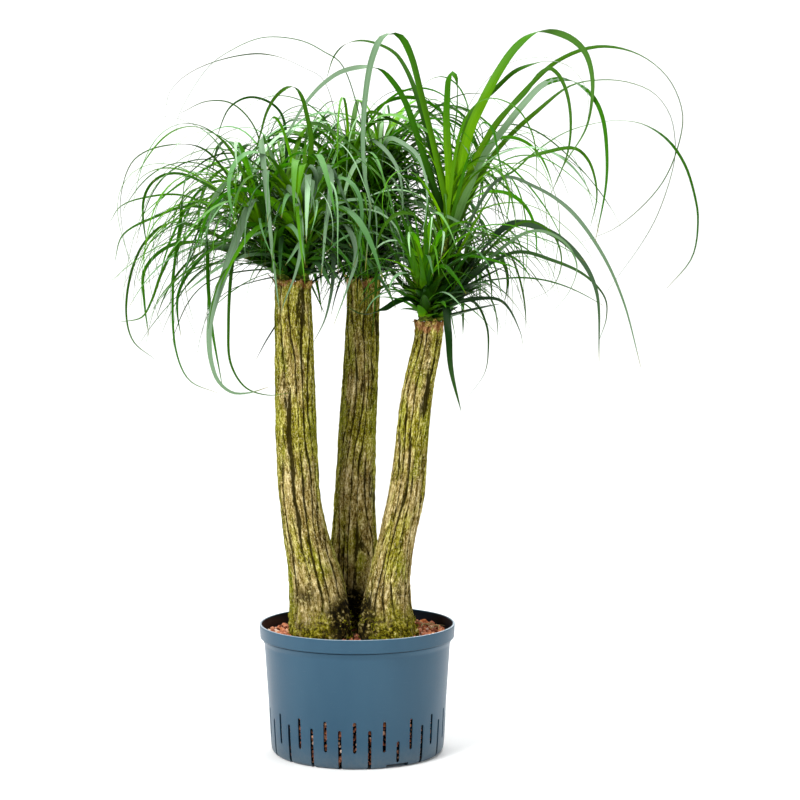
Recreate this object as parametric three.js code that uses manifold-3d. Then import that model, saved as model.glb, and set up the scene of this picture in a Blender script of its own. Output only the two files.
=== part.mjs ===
// A potted ponytail palm: three cut trunks stand in clay granules in a slotted plastic pot,
// and each trunk carries leafy shoots of long arching leaves.
// Millimetres, Z up. The origin is the middle of the pot's underside, and the front is -Y.

import * as THREE from "three";
import { mergeVertices } from "three/addons/utils/BufferGeometryUtils.js";
import Module from "manifold-3d";

const wasm = await Module();
wasm.setup();

// Driving dimensions of the pot
const POT_HEIGHT = 186;
const RIM_RADIUS = 141.5;
const RIM_WALL = 3.5;
const RIM_BAND = 19;
const RIM_TAPER = 1.5;
const RIM_INNER_TAPER = 0.5;
const RIM_LEDGE_RISE = 1;
const SHOULDER_HEIGHT = 157;
const SHOULDER_RADIUS = 134.5;
const SKIRT_HEIGHT = 66;
const SKIRT_RADIUS = 128.5;
const CORNER_HEIGHT = 8;
const CORNER_RADIUS = 125;
const FOOT_RADIUS = 118;
const POT_WALL = 2.2;
const BASE_THICKNESS = 3;
const BASE_CORNER_INSET = 0.4;
const POT_FACETS = 38;

// Slots alternate round the pot, one on every second facet
const FIRST_SLOT_TURN = -1.8;
const SLOT_WIDTH = 4.8;
const HIGH_SLOT = { low: 24, high: 68 };
const LOW_SLOT = { low: -1, high: 56 };
const LOW_SLOT_INNER_RADIUS = 106;
const SHORT_SLOT = { low: 8, high: 38 };
const SHORT_SLOT_NUMBER = 3;
const DRAIN_NOTCH = { width: 28, height: 6, innerRadius: 114 };

// The granules fill the pot to just under its rim
const FILL_HEIGHT = 173;
const FILL_CLEARANCE = 0.35;
const FILL_CORNER_INSET = 0.5;
const FILL_EDGE_INSET = 0.6;
const FILL_EDGE_RISE = 2;
const FILL_RINGS = 7;
const FIRST_RING_INSET = 0.35;
const GRANULE_RELIEF = 6;
const GRANULE_SEED = 17;
const TRUNK_CLEARANCE = 0.5;

// The eye that the leaves are placed for, and how far the plant stands above its listed heights
const EYE_DISTANCE = 2800;
const EYE_HEIGHT = 687;
const SIGHT = new THREE.Vector3(0, 1, 0);
const PLANT_RISE = 3;

// Each trunk's stations from its buried end up: height, centre x, centre y, radius
const TRUNK_SIDES = 20;
const ROOT_LOBE = 0.05;
const RIDGES_START_OVER = 20;
const LOBES_FADE_FROM = 30;
const LOBES_FADE_TO = 110;
const TRUNKS = {
  trunk_left: {
    seed: 3,
    ridge: 0.035,
    lobes: 3,
    stations: [
      [70, -51, -22, 30],
      [125, -51, -22, 43],
      [172, -51, -22, 45],
      [190, -51.5, -22.5, 44.5],
      [211, -53, -23, 42.5],
      [256, -59, -26, 38.5],
      [302, -70.5, -30, 32.5],
      [336, -77, -32, 30],
      [371, -82, -34, 28.6],
      [417, -85, -36, 28.6],
      [463, -87, -37, 28.6],
      [510, -87.5, -38, 27.6],
      [560, -88.5, -39, 26.6],
      [626, -90, -40, 25.4],
      [660, -90.5, -40, 24.4],
      [676.8, -89.9, -40, 25.4],
    ],
  },
  trunk_middle: {
    seed: 5,
    ridge: 0.035,
    lobes: 4,
    stations: [
      [80, -6, 58, 26],
      [130, -6, 58, 38],
      [172, -6, 58, 40],
      [205, -6, 58, 39],
      [250, -6, 58, 36.5],
      [296, -5, 57, 33],
      [330, -4, 57, 30.6],
      [366, -3.2, 57, 29],
      [412, -1, 56, 27.6],
      [459, 1, 56, 26.4],
      [515, 4, 56, 25.4],
      [570, 7, 55, 24.4],
      [625, 8.8, 55, 23.4],
      [662, 10, 55, 23.2],
      [679.4, 10.3, 55, 24.2],
    ],
  },
  trunk_right: {
    seed: 8,
    ridge: 0.035,
    lobes: 3,
    stations: [
      [75, 43, -20, 28],
      [125, 43, -20, 42],
      [172, 43, -20, 43.5],
      [190, 42.5, -20, 39.5],
      [211, 42, -21, 34.5],
      [256, 46.5, -23, 29],
      [302, 55.2, -26, 26],
      [336, 62, -29, 25.7],
      [371, 69.7, -32, 25.4],
      [425, 75.7, -35, 23.2],
      [463, 79, -37, 22.4],
      [510, 84.5, -40, 21.6],
      [550, 92, -43, 20.4],
      [585, 99, -45, 19.5],
      [606, 102.2, -45, 18.8],
      [620.2, 102.5, -45, 19.6],
    ],
  },
};

// Leafy shoots: where each one stands on its trunk's cut top, its tip, and its crowd of leaves.
// Reach is the shortest and longest leaf, and turn the heading of the first one in degrees.
const SHOOTS = {
  left_a: {
    trunk: "trunk_left", foot: [-12, -6], tip: [-144, -70, 766],
    leaves: 27, reach: [180, 330], turn: 10,
  },
  left_b: {
    trunk: "trunk_left", foot: [12, -6], tip: [-74, -80, 771],
    leaves: 28, reach: [150, 310], turn: 77,
  },
  left_c: {
    trunk: "trunk_left", foot: [0, 13], tip: [-101, 10, 811],
    leaves: 24, reach: [180, 350], turn: 140,
  },
  mid_a: {
    trunk: "trunk_middle", foot: [-12, 0], tip: [-15, 45, 838],
    leaves: 26, reach: [160, 360], turn: 200,
  },
  mid_b: {
    trunk: "trunk_middle", foot: [12, 4], tip: [36, 75, 848],
    leaves: 26, reach: [160, 360], turn: 250,
  },
  mid_c: {
    trunk: "trunk_middle", foot: [0, -13], tip: [13, 15, 738],
    leaves: 12, reach: [80, 180], turn: 300,
  },
  right_a: {
    trunk: "trunk_right", foot: [-6, -9], tip: [96, -80, 695],
    leaves: 24, reach: [70, 190], turn: 330,
  },
  right_b: {
    trunk: "trunk_right", foot: [0, 9.5], tip: [136, -35, 792],
    leaves: 26, reach: [150, 340], turn: 35,
  },
  right_c: {
    trunk: "trunk_right", foot: [11, -3], tip: [159, 0, 704],
    leaves: 23, reach: [100, 260], turn: 95,
  },
};
const SHOOT_SIDES = 6;
const SHOOT_FOOT_RADIUS = 8.6;
const SHOOT_TIP_RADIUS = 6;
const SHOOT_SEAT_GAP = 0.3;
const SHOOT_RINGS = [0, 0.3, 0.7, 1];

// The crown's outline, seen from the front, that no leaf of the crowd leaves
const CROWN = { left: -352, right: 440, top: 968, back: 285, front: -285 };
const CROWN_FLOOR_MIDDLE = 615;
const CROWN_FLOOR_SIDE = 530;
const CROWN_FLOOR_SPREAD = [110, 210];

// Leaf section, and how a leaf narrows towards its root and tip
const LEAF_KEEL = 0.9;
const LEAF_KEEL_PER_WIDTH = 0.09;
const LEAF_ROOT_BREADTH = 0.35;
const LEAF_TIP_BREADTH = 0.25;
const LEAF_WIDENED_AT = 0.2;
const LEAF_NARROWS_FROM = 0.35;
const LEAF_ROOT_SHARE = 0.2;
const LEAF_GAP = 0.32;
const SAMPLES_PER_SEGMENT = 6;

// How a leaf of the crowd springs, arches over and hangs: angles in degrees, places as shares of
// its length. The lowest leaves hang least.
const CROWD_SEGMENTS = 5;
const SHORT_LEAF_SEGMENTS = 4;
const SHORT_LEAF = 260;
const CROWD_WIDTH = [5, 11];
const CROWD_ROOTS = [0.06, 0.97];
const CROWD_ROOT_DEPTH = 0.45;
const CROWD_SPRING = [14, 80];
const SPRING_EASE = 0.8;
const SPRING_SPREAD = 26;
const CROWD_SWAY = 100;
const SWAY_EASE = 1.5;
const CROWD_HANG = [-46, -128];
const LOW_LEAF_HANG = [0.55, 1];
const ARCH_PLACE = [0.26, 0.66];
const ARCH_HALF = [0.2, 0.5];
const ARCH_SHARPNESS = 0.6;
const LENGTH_CHANCE = 0.55;
const FRONT_SHORTENING = 0.38;
const CROWD_STEPS = 20;
const GOLDEN_TURN = 137.508;

// A leaf that would touch another is tried again with its heading nudged, then shorter
const NUDGE = 5;
const NUDGES = 9;
const SHORTENING = 0.15;
const CROWD_ATTEMPTS = 45;
const CROWN_TESTS = 12;

// Outline leaves turn over within this share of their length, and may bow out of their plane
const OUTLINE_SEGMENTS = 8;
const TURNOVER_HALF = 0.35;
const OUTLINE_BOWS = [0, -6, 6, -12, 12, -20, 20, -30, 30, -42, 42, -56, 56, -72, 72];
const WIDEST_BOW = 0.85;

// Leaves that make the crown's outline. Each one lists its shoot, where it springs on the shoot
// (0 foot, 1 tip), width, depth of its tip, how far its upper face turns away from the front at root
// and tip in degrees and where between them it turns over, and the points that it passes, as x and
// height in the upright plane through the pot's axis.
const OUTLINE_LEAVES = [
  ["right_b", 0.9, 13, -150, [172, 12, 0.43],
   [[91, 950], [78, 997], [64, 1022], [50, 1028], [35, 1021], [22, 993], [13, 945], [9, 880],
    [12, 824], [19, 788], [16, 740], [12, 690]]],
  ["right_b", 0.85, 8, 30, [15, 150, 0.86],
   [[86, 940], [71, 977], [55, 1000], [31, 1013], [5, 1018], [-17, 1012], [-32, 996], [-43, 964]]],
  ["right_b", 0.75, 11, -60, [168, 12, 0.52],
   [[89, 876], [68, 934], [53, 958], [35, 976], [16, 981], [-20, 975], [-50, 955], [-76, 925],
    [-96, 890], [-116, 857], [-135, 822]]],
  ["left_b", 0.9, 10, -110, [170, 12, 0.6],
   [[-65, 876], [-71, 912], [-79, 940], [-89, 952], [-100, 951], [-115, 939], [-128, 917],
    [-136, 890], [-144, 861], [-149, 842]]],
  ["left_b", 0.7, 11, -210, [150, 10, 0.36], [[-134, 882], [-128, 799], [-119, 701], [-110, 624]]],
  ["left_b", 0.5, 14, -230, [160, 10, 0.2],
   [[-128, 772], [-141, 795], [-153, 783], [-164, 758], [-186, 696], [-209, 626], [-212, 594],
    [-209, 561], [-199, 533], [-180, 517], [-157, 516], [-126, 525]]],
  ["left_a", 0.8, 9, -170, [20, 150, 0.45],
   [[-175, 822], [-208, 784], [-213, 711], [-209, 621], [-193, 523]]],
  ["left_a", 0.6, 8, -150, [150, 165, 0.4],
   [[-158, 782], [-177, 707], [-184, 615], [-181, 558], [-160, 524], [-128, 513], [-98, 516]]],
  ["left_b", 0.8, 9, -180, [150, 10, 0.3],
   [[-74, 825], [-66, 840], [-58, 828], [-58, 806], [-64, 784], [-74, 758]]],
  ["left_b", 0.6, 10, -200, [150, 12, 0.25],
   [[-100, 811], [-89, 799], [-82, 773], [-79, 744], [-82, 711], [-91, 678], [-102, 652],
    [-111, 625]]],
  ["left_b", 0.85, 11, -200, [150, 10, 0.3],
   [[-46, 838], [-38, 832], [-39, 795], [-44, 758], [-48, 714], [-51, 685]]],
  ["left_b", 0.9, 8, -150, [150, 15, 0.35],
   [[-53, 837], [-38, 839], [-27, 819], [-17, 795], [-6, 773], [2, 754]]],
  ["left_b", 0.4, 9, -190, [30, 15, 0.4],
   [[-25, 765], [-8, 744], [-1, 710], [-11, 674], [-34, 612]]],
  ["left_b", 0.3, 8, -120, [30, 20, 0.4],
   [[-44, 740], [-34, 711], [-35, 674], [-39, 648], [-47, 619], [-63, 588]]],
  ["mid_c", 0.6, 8, -130, [30, 20, 0.4], [[-7, 771], [13, 742], [27, 692], [26, 650], [22, 599]]],
  ["right_b", 0.95, 13, -130, [172, 15, 0.6],
   [[128, 905], [129, 942], [131, 964], [136, 973], [142, 966], [144, 945], [143, 916], [139, 887],
    [134, 846]]],
  ["right_b", 0.9, 14, -110, [170, 80, 0.47],
   [[161, 890], [179, 931], [201, 973], [225, 1008], [249, 1028], [272, 1033], [306, 1022],
    [326, 1003], [336, 973], [337, 940], [328, 894], [297, 843], [277, 799]]],
  ["right_b", 0.8, 11, -60, [168, 82, 0.66],
   [[161, 909], [178, 933], [196, 949], [225, 975], [251, 986], [273, 990], [293, 987], [311, 976],
    [324, 958], [331, 936], [330, 905]]],
  ["right_b", 0.7, 7, 40, [165, 115, 0.5],
   [[189, 883], [247, 955], [291, 993], [346, 1011], [401, 1001], [445, 967], [466, 920],
    [464, 883], [438, 817], [375, 755], [320, 732]]],
  ["right_b", 0.5, 8, 60, [165, 105, 0.35],
   [[196, 857], [262, 923], [306, 956], [350, 964], [390, 960], [425, 945], [448, 915], [456, 879],
    [455, 846], [434, 777], [412, 735], [359, 661]]],
  ["right_b", 0.3, 8, -60, [165, 125, 0.4],
   [[196, 817], [225, 835], [254, 861], [300, 890], [346, 903], [372, 906], [410, 901], [445, 879],
    [470, 844], [485, 799], [490, 765], [482, 711], [445, 665]]],
  ["right_b", 0.2, 7, -120, [30, 20, 0.4],
   [[206, 824], [257, 811], [304, 780], [351, 718], [383, 649], [410, 550]]],
  ["right_c", 0.7, 13, -60, [70, 20, 0.3],
   [[220, 758], [276, 747], [317, 714], [344, 664], [349, 560]]],
  ["right_c", 0.5, 7, -40, [30, 20, 0.4],
   [[225, 718], [282, 706], [329, 684], [357, 652], [359, 624], [349, 592]]],
  ["right_b", 0.85, 9, -160, [165, 140, 0.7],
   [[196, 898], [240, 945], [262, 973], [275, 980], [286, 973], [297, 954], [304, 927], [306, 894],
    [302, 861], [293, 835], [277, 799]]],
  ["right_b", 0.6, 9, -120, [12, 160, 0.55],
   [[181, 854], [210, 894], [240, 931], [265, 956], [284, 964], [302, 964], [320, 956], [339, 938],
    [352, 909], [358, 861], [357, 813], [342, 732]]],
  ["right_b", 0.25, 8, -110, [105, 165, 0.62],
   [[226, 842], [275, 862], [313, 866], [331, 850], [341, 824], [344, 795], [335, 755]]],
  ["right_b", 0.6, 7, -150, [165, 110, 0.5],
   [[148, 890], [166, 925], [188, 937], [210, 934], [232, 920], [251, 887], [257, 854],
    [257, 821]]],
  ["right_b", 0.6, 6, -140, [160, 115, 0.4],
   [[180, 903], [192, 897], [203, 854], [210, 815], [211, 786]]],
  ["right_b", 0.8, 3, 60, [130, 110, 0.4],
   [[150, 900], [165, 935], [190, 967], [218, 987], [255, 995], [281, 993], [312, 978]]],
  ["mid_b", 0.7, 2.4, 20, [30, 40, 0.4],
   [[-21, 984], [-46, 1002], [-76, 1017], [-116, 1023], [-142, 1020], [-178, 1004], [-208, 983],
    [-241, 936], [-255, 905], [-256, 868]]],
  ["mid_a", 0.8, 3.4, 60, [95, 30, 0.55],
   [[-47, 962], [-76, 980], [-105, 993], [-135, 999], [-164, 997], [-201, 988], [-230, 976],
    [-252, 961], [-267, 942], [-273, 908]]],
  ["left_a", 0.9, 4, -20, [60, 150, 0.4], [[-141, 884], [-176, 928], [-213, 932], [-251, 915]]],
  ["left_c", 0.9, 6, 40, [160, 160, 0.4], [[-109, 917], [-149, 938], [-180, 924], [-202, 874]]],
  ["left_a", 0.5, 6, -60, [150, 30, 0.4],
   [[-216, 863], [-273, 869], [-317, 849], [-336, 799], [-334, 747], [-312, 650]]],
  ["left_a", 0.7, 4, 60, [120, 40, 0.4], [[-202, 877], [-244, 904], [-280, 912]]],
  ["left_a", 0.3, 5, -30, [50, 150, 0.4], [[-238, 796], [-305, 795], [-338, 782], [-352, 761]]],
  ["left_a", 0.2, 6, 40, [40, 150, 0.4], [[-224, 782], [-295, 765], [-335, 741], [-346, 704]]],
  ["left_a", 0.3, 6, -120, [40, 150, 0.4],
   [[-235, 832], [-253, 750], [-263, 670], [-259, 575], [-240, 534], [-200, 516]]],
  ["left_a", 0.35, 7, -90, [30, 150, 0.4],
   [[-204, 722], [-236, 694], [-255, 660], [-257, 630], [-252, 597]]],
  ["left_a", 0.4, 7, -20, [30, 150, 0.4],
   [[-241, 733], [-280, 719], [-304, 690], [-304, 645], [-298, 597]]],
  ["left_a", 0.25, 5, 10, [40, 120, 0.4],
   [[-262, 760], [-300, 735], [-322, 690], [-330, 627], [-320, 590], [-290, 565]]],
  ["left_a", 0.2, 6, -70, [30, 150, 0.4],
   [[-250, 730], [-278, 690], [-294, 648], [-308, 625], [-340, 618]]],
  ["left_c", 0.1, 4, 30, [150, 160, 0.4],
   [[-92, 658], [-104, 636], [-116, 614], [-131, 590], [-145, 564]]],
  ["right_a", 0.2, 10, -160, [20, 10, 0.4], [[124, 652], [131, 606], [135, 552], [150, 489]]],
  ["right_a", 0.25, 11, -150, [20, 80, 0.55],
   [[80, 649], [67, 650], [53, 645], [38, 636], [9, 629], [-16, 641]]],
  ["right_a", 0.5, 10, -170, [165, 160, 0.4], [[108, 690], [123, 699], [140, 684], [157, 658]]],
  ["right_a", 0.3, 7, -100, [30, 20, 0.4],
   [[166, 648], [186, 615], [189, 578], [184, 545], [160, 510]]],
  ["right_a", 0.6, 9, -90, [170, 150, 0.4], [[89, 704], [75, 747], [57, 784]]],
  ["right_a", 0.7, 9, -70, [165, 150, 0.4], [[97, 730], [99, 765], [104, 798]]],
  ["right_a", 0.5, 9, -110, [165, 150, 0.4], [[84, 690], [66, 726], [45, 752]]],
  ["right_a", 0.6, 8, -60, [165, 150, 0.4], [[110, 705], [120, 738], [129, 764]]],
  ["mid_b", 0.6, 7, -150, [150, 20, 0.3],
   [[31, 799], [57, 797], [82, 790], [108, 777], [137, 766], [159, 751], [172, 733], [169, 703]]],
  ["mid_b", 0.7, 8, -100, [150, 15, 0.3],
   [[45, 879], [68, 872], [88, 854], [98, 828], [101, 799], [98, 766], [90, 733]]],
  ["mid_b", 0.9, 6, -60, [150, 15, 0.3],
   [[16, 916], [53, 905], [86, 887], [108, 861], [134, 839], [155, 813]]],
  ["left_b", 0.95, 8, -60, [150, 20, 0.4], [[-64, 900], [-25, 883], [8, 853], [33, 814]]],
  ["mid_a", 0.9, 8, -90, [150, 20, 0.4], [[-10, 887], [26, 876], [56, 842], [66, 792], [59, 742]]],
  ["right_c", 0.3, 6, -80, [20, 20, 0.4], [[206, 649], [234, 606], [239, 585]]],
  ["right_c", 0.6, 5, -80, [40, 30, 0.4],
   [[240, 762], [280, 745], [294, 705], [280, 667], [243, 648]]],
  ["right_c", 0.55, 6, -120, [30, 20, 0.4],
   [[250, 748], [295, 735], [316, 700], [306, 663], [283, 634]]],
];

const UP = new THREE.Vector3(0, 0, 1);
const WELD = 1e-4;
const FINEST_EDGE = 0.06;
const { degToRad, lerp, clamp, smoothstep } = THREE.MathUtils;

const COLOURS = {
  pot: [0x4b6d86, 0.5],
  granules: [0xa9684c, 0.95],
  bark: [0x8f8a4e, 0.9],
  leaf: [0x4f8a2a, 0.55],
};

// A repeatable draw from 0 to 1
function draw(seed, index, turn) {
  let bits = Math.imul(seed + 1, 374761393) ^ Math.imul(index + 1, 668265263);
  bits ^= Math.imul(turn + 1, 2246822519);
  bits = Math.imul(bits ^ (bits >>> 15), 2246822519);
  bits = Math.imul(bits ^ (bits >>> 13), 3266489917);
  return ((bits ^ (bits >>> 16)) >>> 0) / 4294967296;
}

// Solids and meshes
function solidOf(geometry) {
  const bare = geometry.clone();
  bare.deleteAttribute("normal");
  bare.deleteAttribute("uv");
  const welded = mergeVertices(bare, WELD);
  const mesh = new wasm.Mesh({
    numProp: 3,
    vertProperties: new Float32Array(welded.attributes.position.array),
    triVerts: new Uint32Array(welded.index.array),
  });
  return new wasm.Manifold(mesh);
}

function geometryOf(solid) {
  const mesh = solid.getMesh();
  const geometry = new THREE.BufferGeometry();
  geometry.setAttribute("position", new THREE.BufferAttribute(mesh.vertProperties, 3));
  geometry.setIndex(new THREE.BufferAttribute(mesh.triVerts, 1));
  geometry.computeVertexNormals();
  return geometry;
}

function largestBody(solid) {
  const bodies = solid.decompose();
  return bodies.reduce((best, body) => (body.volume() > best.volume() ? body : best));
}

// A closed skin over rings of equal count, with its ends closed on their middles.
// Rings run anticlockwise as seen from the last ring's side.
function loft(rings) {
  const sides = rings[0].length;
  const last = (rings.length - 1) * sides;
  const points = rings.flat();
  const firstMiddle = points.length;
  const lastMiddle = firstMiddle + 1;
  points.push(middleOf(rings[0]));
  points.push(middleOf(rings[rings.length - 1]));
  const faces = [];
  for (let i = 0; i < sides; i += 1) {
    const next = (i + 1) % sides;
    faces.push(firstMiddle, next, i);
    faces.push(lastMiddle, last + i, last + next);
    for (let k = 0; k < rings.length - 1; k += 1) {
      const low = k * sides;
      const high = low + sides;
      faces.push(low + i, low + next, high + next);
      faces.push(low + i, high + next, high + i);
    }
  }
  return new THREE.BufferGeometry().setFromPoints(points).setIndex(faces);
}

function middleOf(ring) {
  const sum = ring.reduce((total, point) => total.add(point), new THREE.Vector3());
  return sum.divideScalar(ring.length);
}

// Pot
function potShell() {
  const rimInner = RIM_RADIUS - RIM_WALL;
  const outline = [
    [0, BASE_THICKNESS],
    [CORNER_RADIUS - POT_WALL - BASE_CORNER_INSET, BASE_THICKNESS],
    [SKIRT_RADIUS - POT_WALL, SKIRT_HEIGHT],
    [SHOULDER_RADIUS - POT_WALL, SHOULDER_HEIGHT],
    [rimInner - RIM_INNER_TAPER, POT_HEIGHT - RIM_BAND + RIM_LEDGE_RISE],
    [rimInner, POT_HEIGHT],
    [RIM_RADIUS, POT_HEIGHT],
    [RIM_RADIUS - RIM_TAPER, POT_HEIGHT - RIM_BAND],
    [SHOULDER_RADIUS, SHOULDER_HEIGHT],
    [SKIRT_RADIUS, SKIRT_HEIGHT],
    [CORNER_RADIUS, CORNER_HEIGHT],
    [FOOT_RADIUS, 0],
    [0, 0],
  ];
  const points = outline.reverse().map(([radius, height]) => new THREE.Vector2(radius, height));
  const facet = 360 / POT_FACETS;
  const shell = new THREE.LatheGeometry(points, POT_FACETS, degToRad(FIRST_SLOT_TURN - facet / 2));
  return solidOf(shell.rotateX(Math.PI / 2));
}

// A cutter at a turn from the front, through the wall between two radii
function wallCutter(turn, width, span, innerRadius) {
  const outerRadius = RIM_RADIUS;
  const cutter = new THREE.BoxGeometry(width, outerRadius - innerRadius, span.high - span.low);
  cutter.translate(0, -(outerRadius + innerRadius) / 2, (span.high + span.low) / 2);
  cutter.rotateZ(degToRad(turn));
  return solidOf(cutter);
}

function pot() {
  const facet = 360 / POT_FACETS;
  const cutters = [];
  for (let i = 0; i < POT_FACETS; i += 1) {
    const turn = FIRST_SLOT_TURN + i * facet;
    if (i === SHORT_SLOT_NUMBER) {
      cutters.push(wallCutter(turn, SLOT_WIDTH, SHORT_SLOT, LOW_SLOT_INNER_RADIUS));
      const notch = { low: LOW_SLOT.low, high: DRAIN_NOTCH.height };
      cutters.push(wallCutter(turn, DRAIN_NOTCH.width, notch, DRAIN_NOTCH.innerRadius));
    } else {
      const span = i % 2 === 0 ? HIGH_SLOT : LOW_SLOT;
      cutters.push(wallCutter(turn, SLOT_WIDTH, span, LOW_SLOT_INNER_RADIUS));
    }
  }
  return potShell().subtract(wasm.Manifold.union(cutters));
}

// Trunks
// The radius follows bark ridges along the trunk and, at its foot, the swollen root lobes
function barkRadius(trunk, height, radius, side) {
  const turn = (side / TRUNK_SIDES) * 2 * Math.PI;
  const aboveGround = smoothstep(height, FILL_HEIGHT, FILL_HEIGHT + RIDGES_START_OVER);
  const foot = 1 - smoothstep(height, FILL_HEIGHT + LOBES_FADE_FROM, FILL_HEIGHT + LOBES_FADE_TO);
  const unevenness = draw(trunk.seed, side, height) - 0.5;
  const ridge = trunk.ridge * ((side % 2 === 0 ? 1 : -1) + unevenness);
  const lobe = ROOT_LOBE * Math.cos(trunk.lobes * turn + trunk.seed);
  return radius * (1 + aboveGround * (ridge + foot * lobe));
}

function trunkSolid(trunk, growth) {
  const rings = trunk.stations.map(([listedHeight, x, y, radius]) => {
    const height = listedHeight + PLANT_RISE;
    const ring = [];
    for (let side = 0; side < TRUNK_SIDES; side += 1) {
      const turn = (side / TRUNK_SIDES) * 2 * Math.PI;
      const reach = barkRadius(trunk, height, radius, side) + growth;
      ring.push(new THREE.Vector3(x + reach * Math.cos(turn), y + reach * Math.sin(turn), height));
    }
    return ring;
  });
  return solidOf(loft(rings));
}

// Granules: a plug of the pot's inner form with a lumpy top and a plain hole for each trunk
function granules() {
  const wall = POT_WALL + FILL_CLEARANCE;
  const sides = [
    [CORNER_RADIUS - wall - FILL_CORNER_INSET, BASE_THICKNESS + FILL_CLEARANCE],
    [SKIRT_RADIUS - wall, SKIRT_HEIGHT],
    [SHOULDER_RADIUS - wall, SHOULDER_HEIGHT],
    [RIM_RADIUS - RIM_WALL - FILL_CLEARANCE - FILL_EDGE_INSET, POT_HEIGHT - RIM_BAND + FILL_EDGE_RISE],
  ];
  const topRadius = sides[sides.length - 1][0];
  const start = degToRad(FIRST_SLOT_TURN - 180 / POT_FACETS) - Math.PI / 2;
  const ringAt = (radius, heightOf) => {
    const ring = [];
    for (let i = 0; i < POT_FACETS; i += 1) {
      const turn = start + (i / POT_FACETS) * 2 * Math.PI;
      ring.push(new THREE.Vector3(radius * Math.cos(turn), radius * Math.sin(turn), heightOf(i)));
    }
    return ring;
  };
  const rings = sides.map(([radius, height]) => ringAt(radius, () => height));
  for (let ring = 0; ring < FILL_RINGS; ring += 1) {
    const radius = topRadius * (1 - (ring + FIRST_RING_INSET) / FILL_RINGS);
    rings.push(ringAt(radius, (i) => FILL_HEIGHT + GRANULE_RELIEF * (draw(GRANULE_SEED, i, ring) - 0.5)));
  }
  const holes = Object.values(TRUNKS).map((trunk) => trunkSolid(trunk, TRUNK_CLEARANCE));
  return solidOf(loft(rings)).subtract(wasm.Manifold.union(holes));
}

// Shoots
function shootLine(shoot) {
  const trunk = TRUNKS[shoot.trunk];
  const [height, x, y] = trunk.stations[trunk.stations.length - 1];
  const foot = new THREE.Vector3(x + shoot.foot[0], y + shoot.foot[1], height + SHOOT_SEAT_GAP);
  const rise = new THREE.Vector3(0, 0, PLANT_RISE);
  return new THREE.LineCurve3(foot.add(rise), new THREE.Vector3(...shoot.tip).add(rise));
}

function shootRadius(share) {
  return lerp(SHOOT_FOOT_RADIUS, SHOOT_TIP_RADIUS, share);
}

function shootStem(shoot) {
  const line = shootLine(shoot);
  const rings = SHOOT_RINGS.map((share) => {
    const centre = line.getPoint(share);
    const ring = [];
    for (let side = 0; side < SHOOT_SIDES; side += 1) {
      const turn = (side / SHOOT_SIDES) * 2 * Math.PI;
      const radius = shootRadius(share);
      ring.push(new THREE.Vector3(radius * Math.cos(turn), radius * Math.sin(turn), 0).add(centre));
    }
    return ring;
  });
  return solidOf(loft(rings));
}

// A point seen at x and height in the upright plane through the pot's axis, pushed to a depth
function sighted(x, height, depth) {
  const scale = (EYE_DISTANCE + depth) / EYE_DISTANCE;
  return new THREE.Vector3(x * scale, depth, EYE_HEIGHT + (height + PLANT_RISE - EYE_HEIGHT) * scale);
}

function seenFromFront(point) {
  const scale = EYE_DISTANCE / (EYE_DISTANCE + point.y);
  return { x: point.x * scale, height: EYE_HEIGHT - PLANT_RISE + (point.z - EYE_HEIGHT) * scale };
}

// The curve of an outline leaf. Its depth runs evenly from root to tip, and bow swells it midway.
function outlineCurve([shootName, share, , tipDepth, , passes], bow) {
  const root = shootLine(SHOOTS[shootName]).getPoint(share);
  const seen = seenFromFront(root);
  const lengths = [];
  let length = 0;
  let before = [seen.x, seen.height];
  for (const pass of passes) {
    length += Math.hypot(pass[0] - before[0], pass[1] - before[1]);
    lengths.push(length);
    before = pass;
  }
  const points = passes.map(([x, height], i) => {
    const along = lengths[i] / length;
    const bowed = bow * Math.sin(Math.PI * Math.min(along, WIDEST_BOW));
    return sighted(x, height, lerp(root.y, tipDepth, along) + bowed);
  });
  return new THREE.CatmullRomCurve3([root, ...points], false, "centripetal");
}

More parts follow.
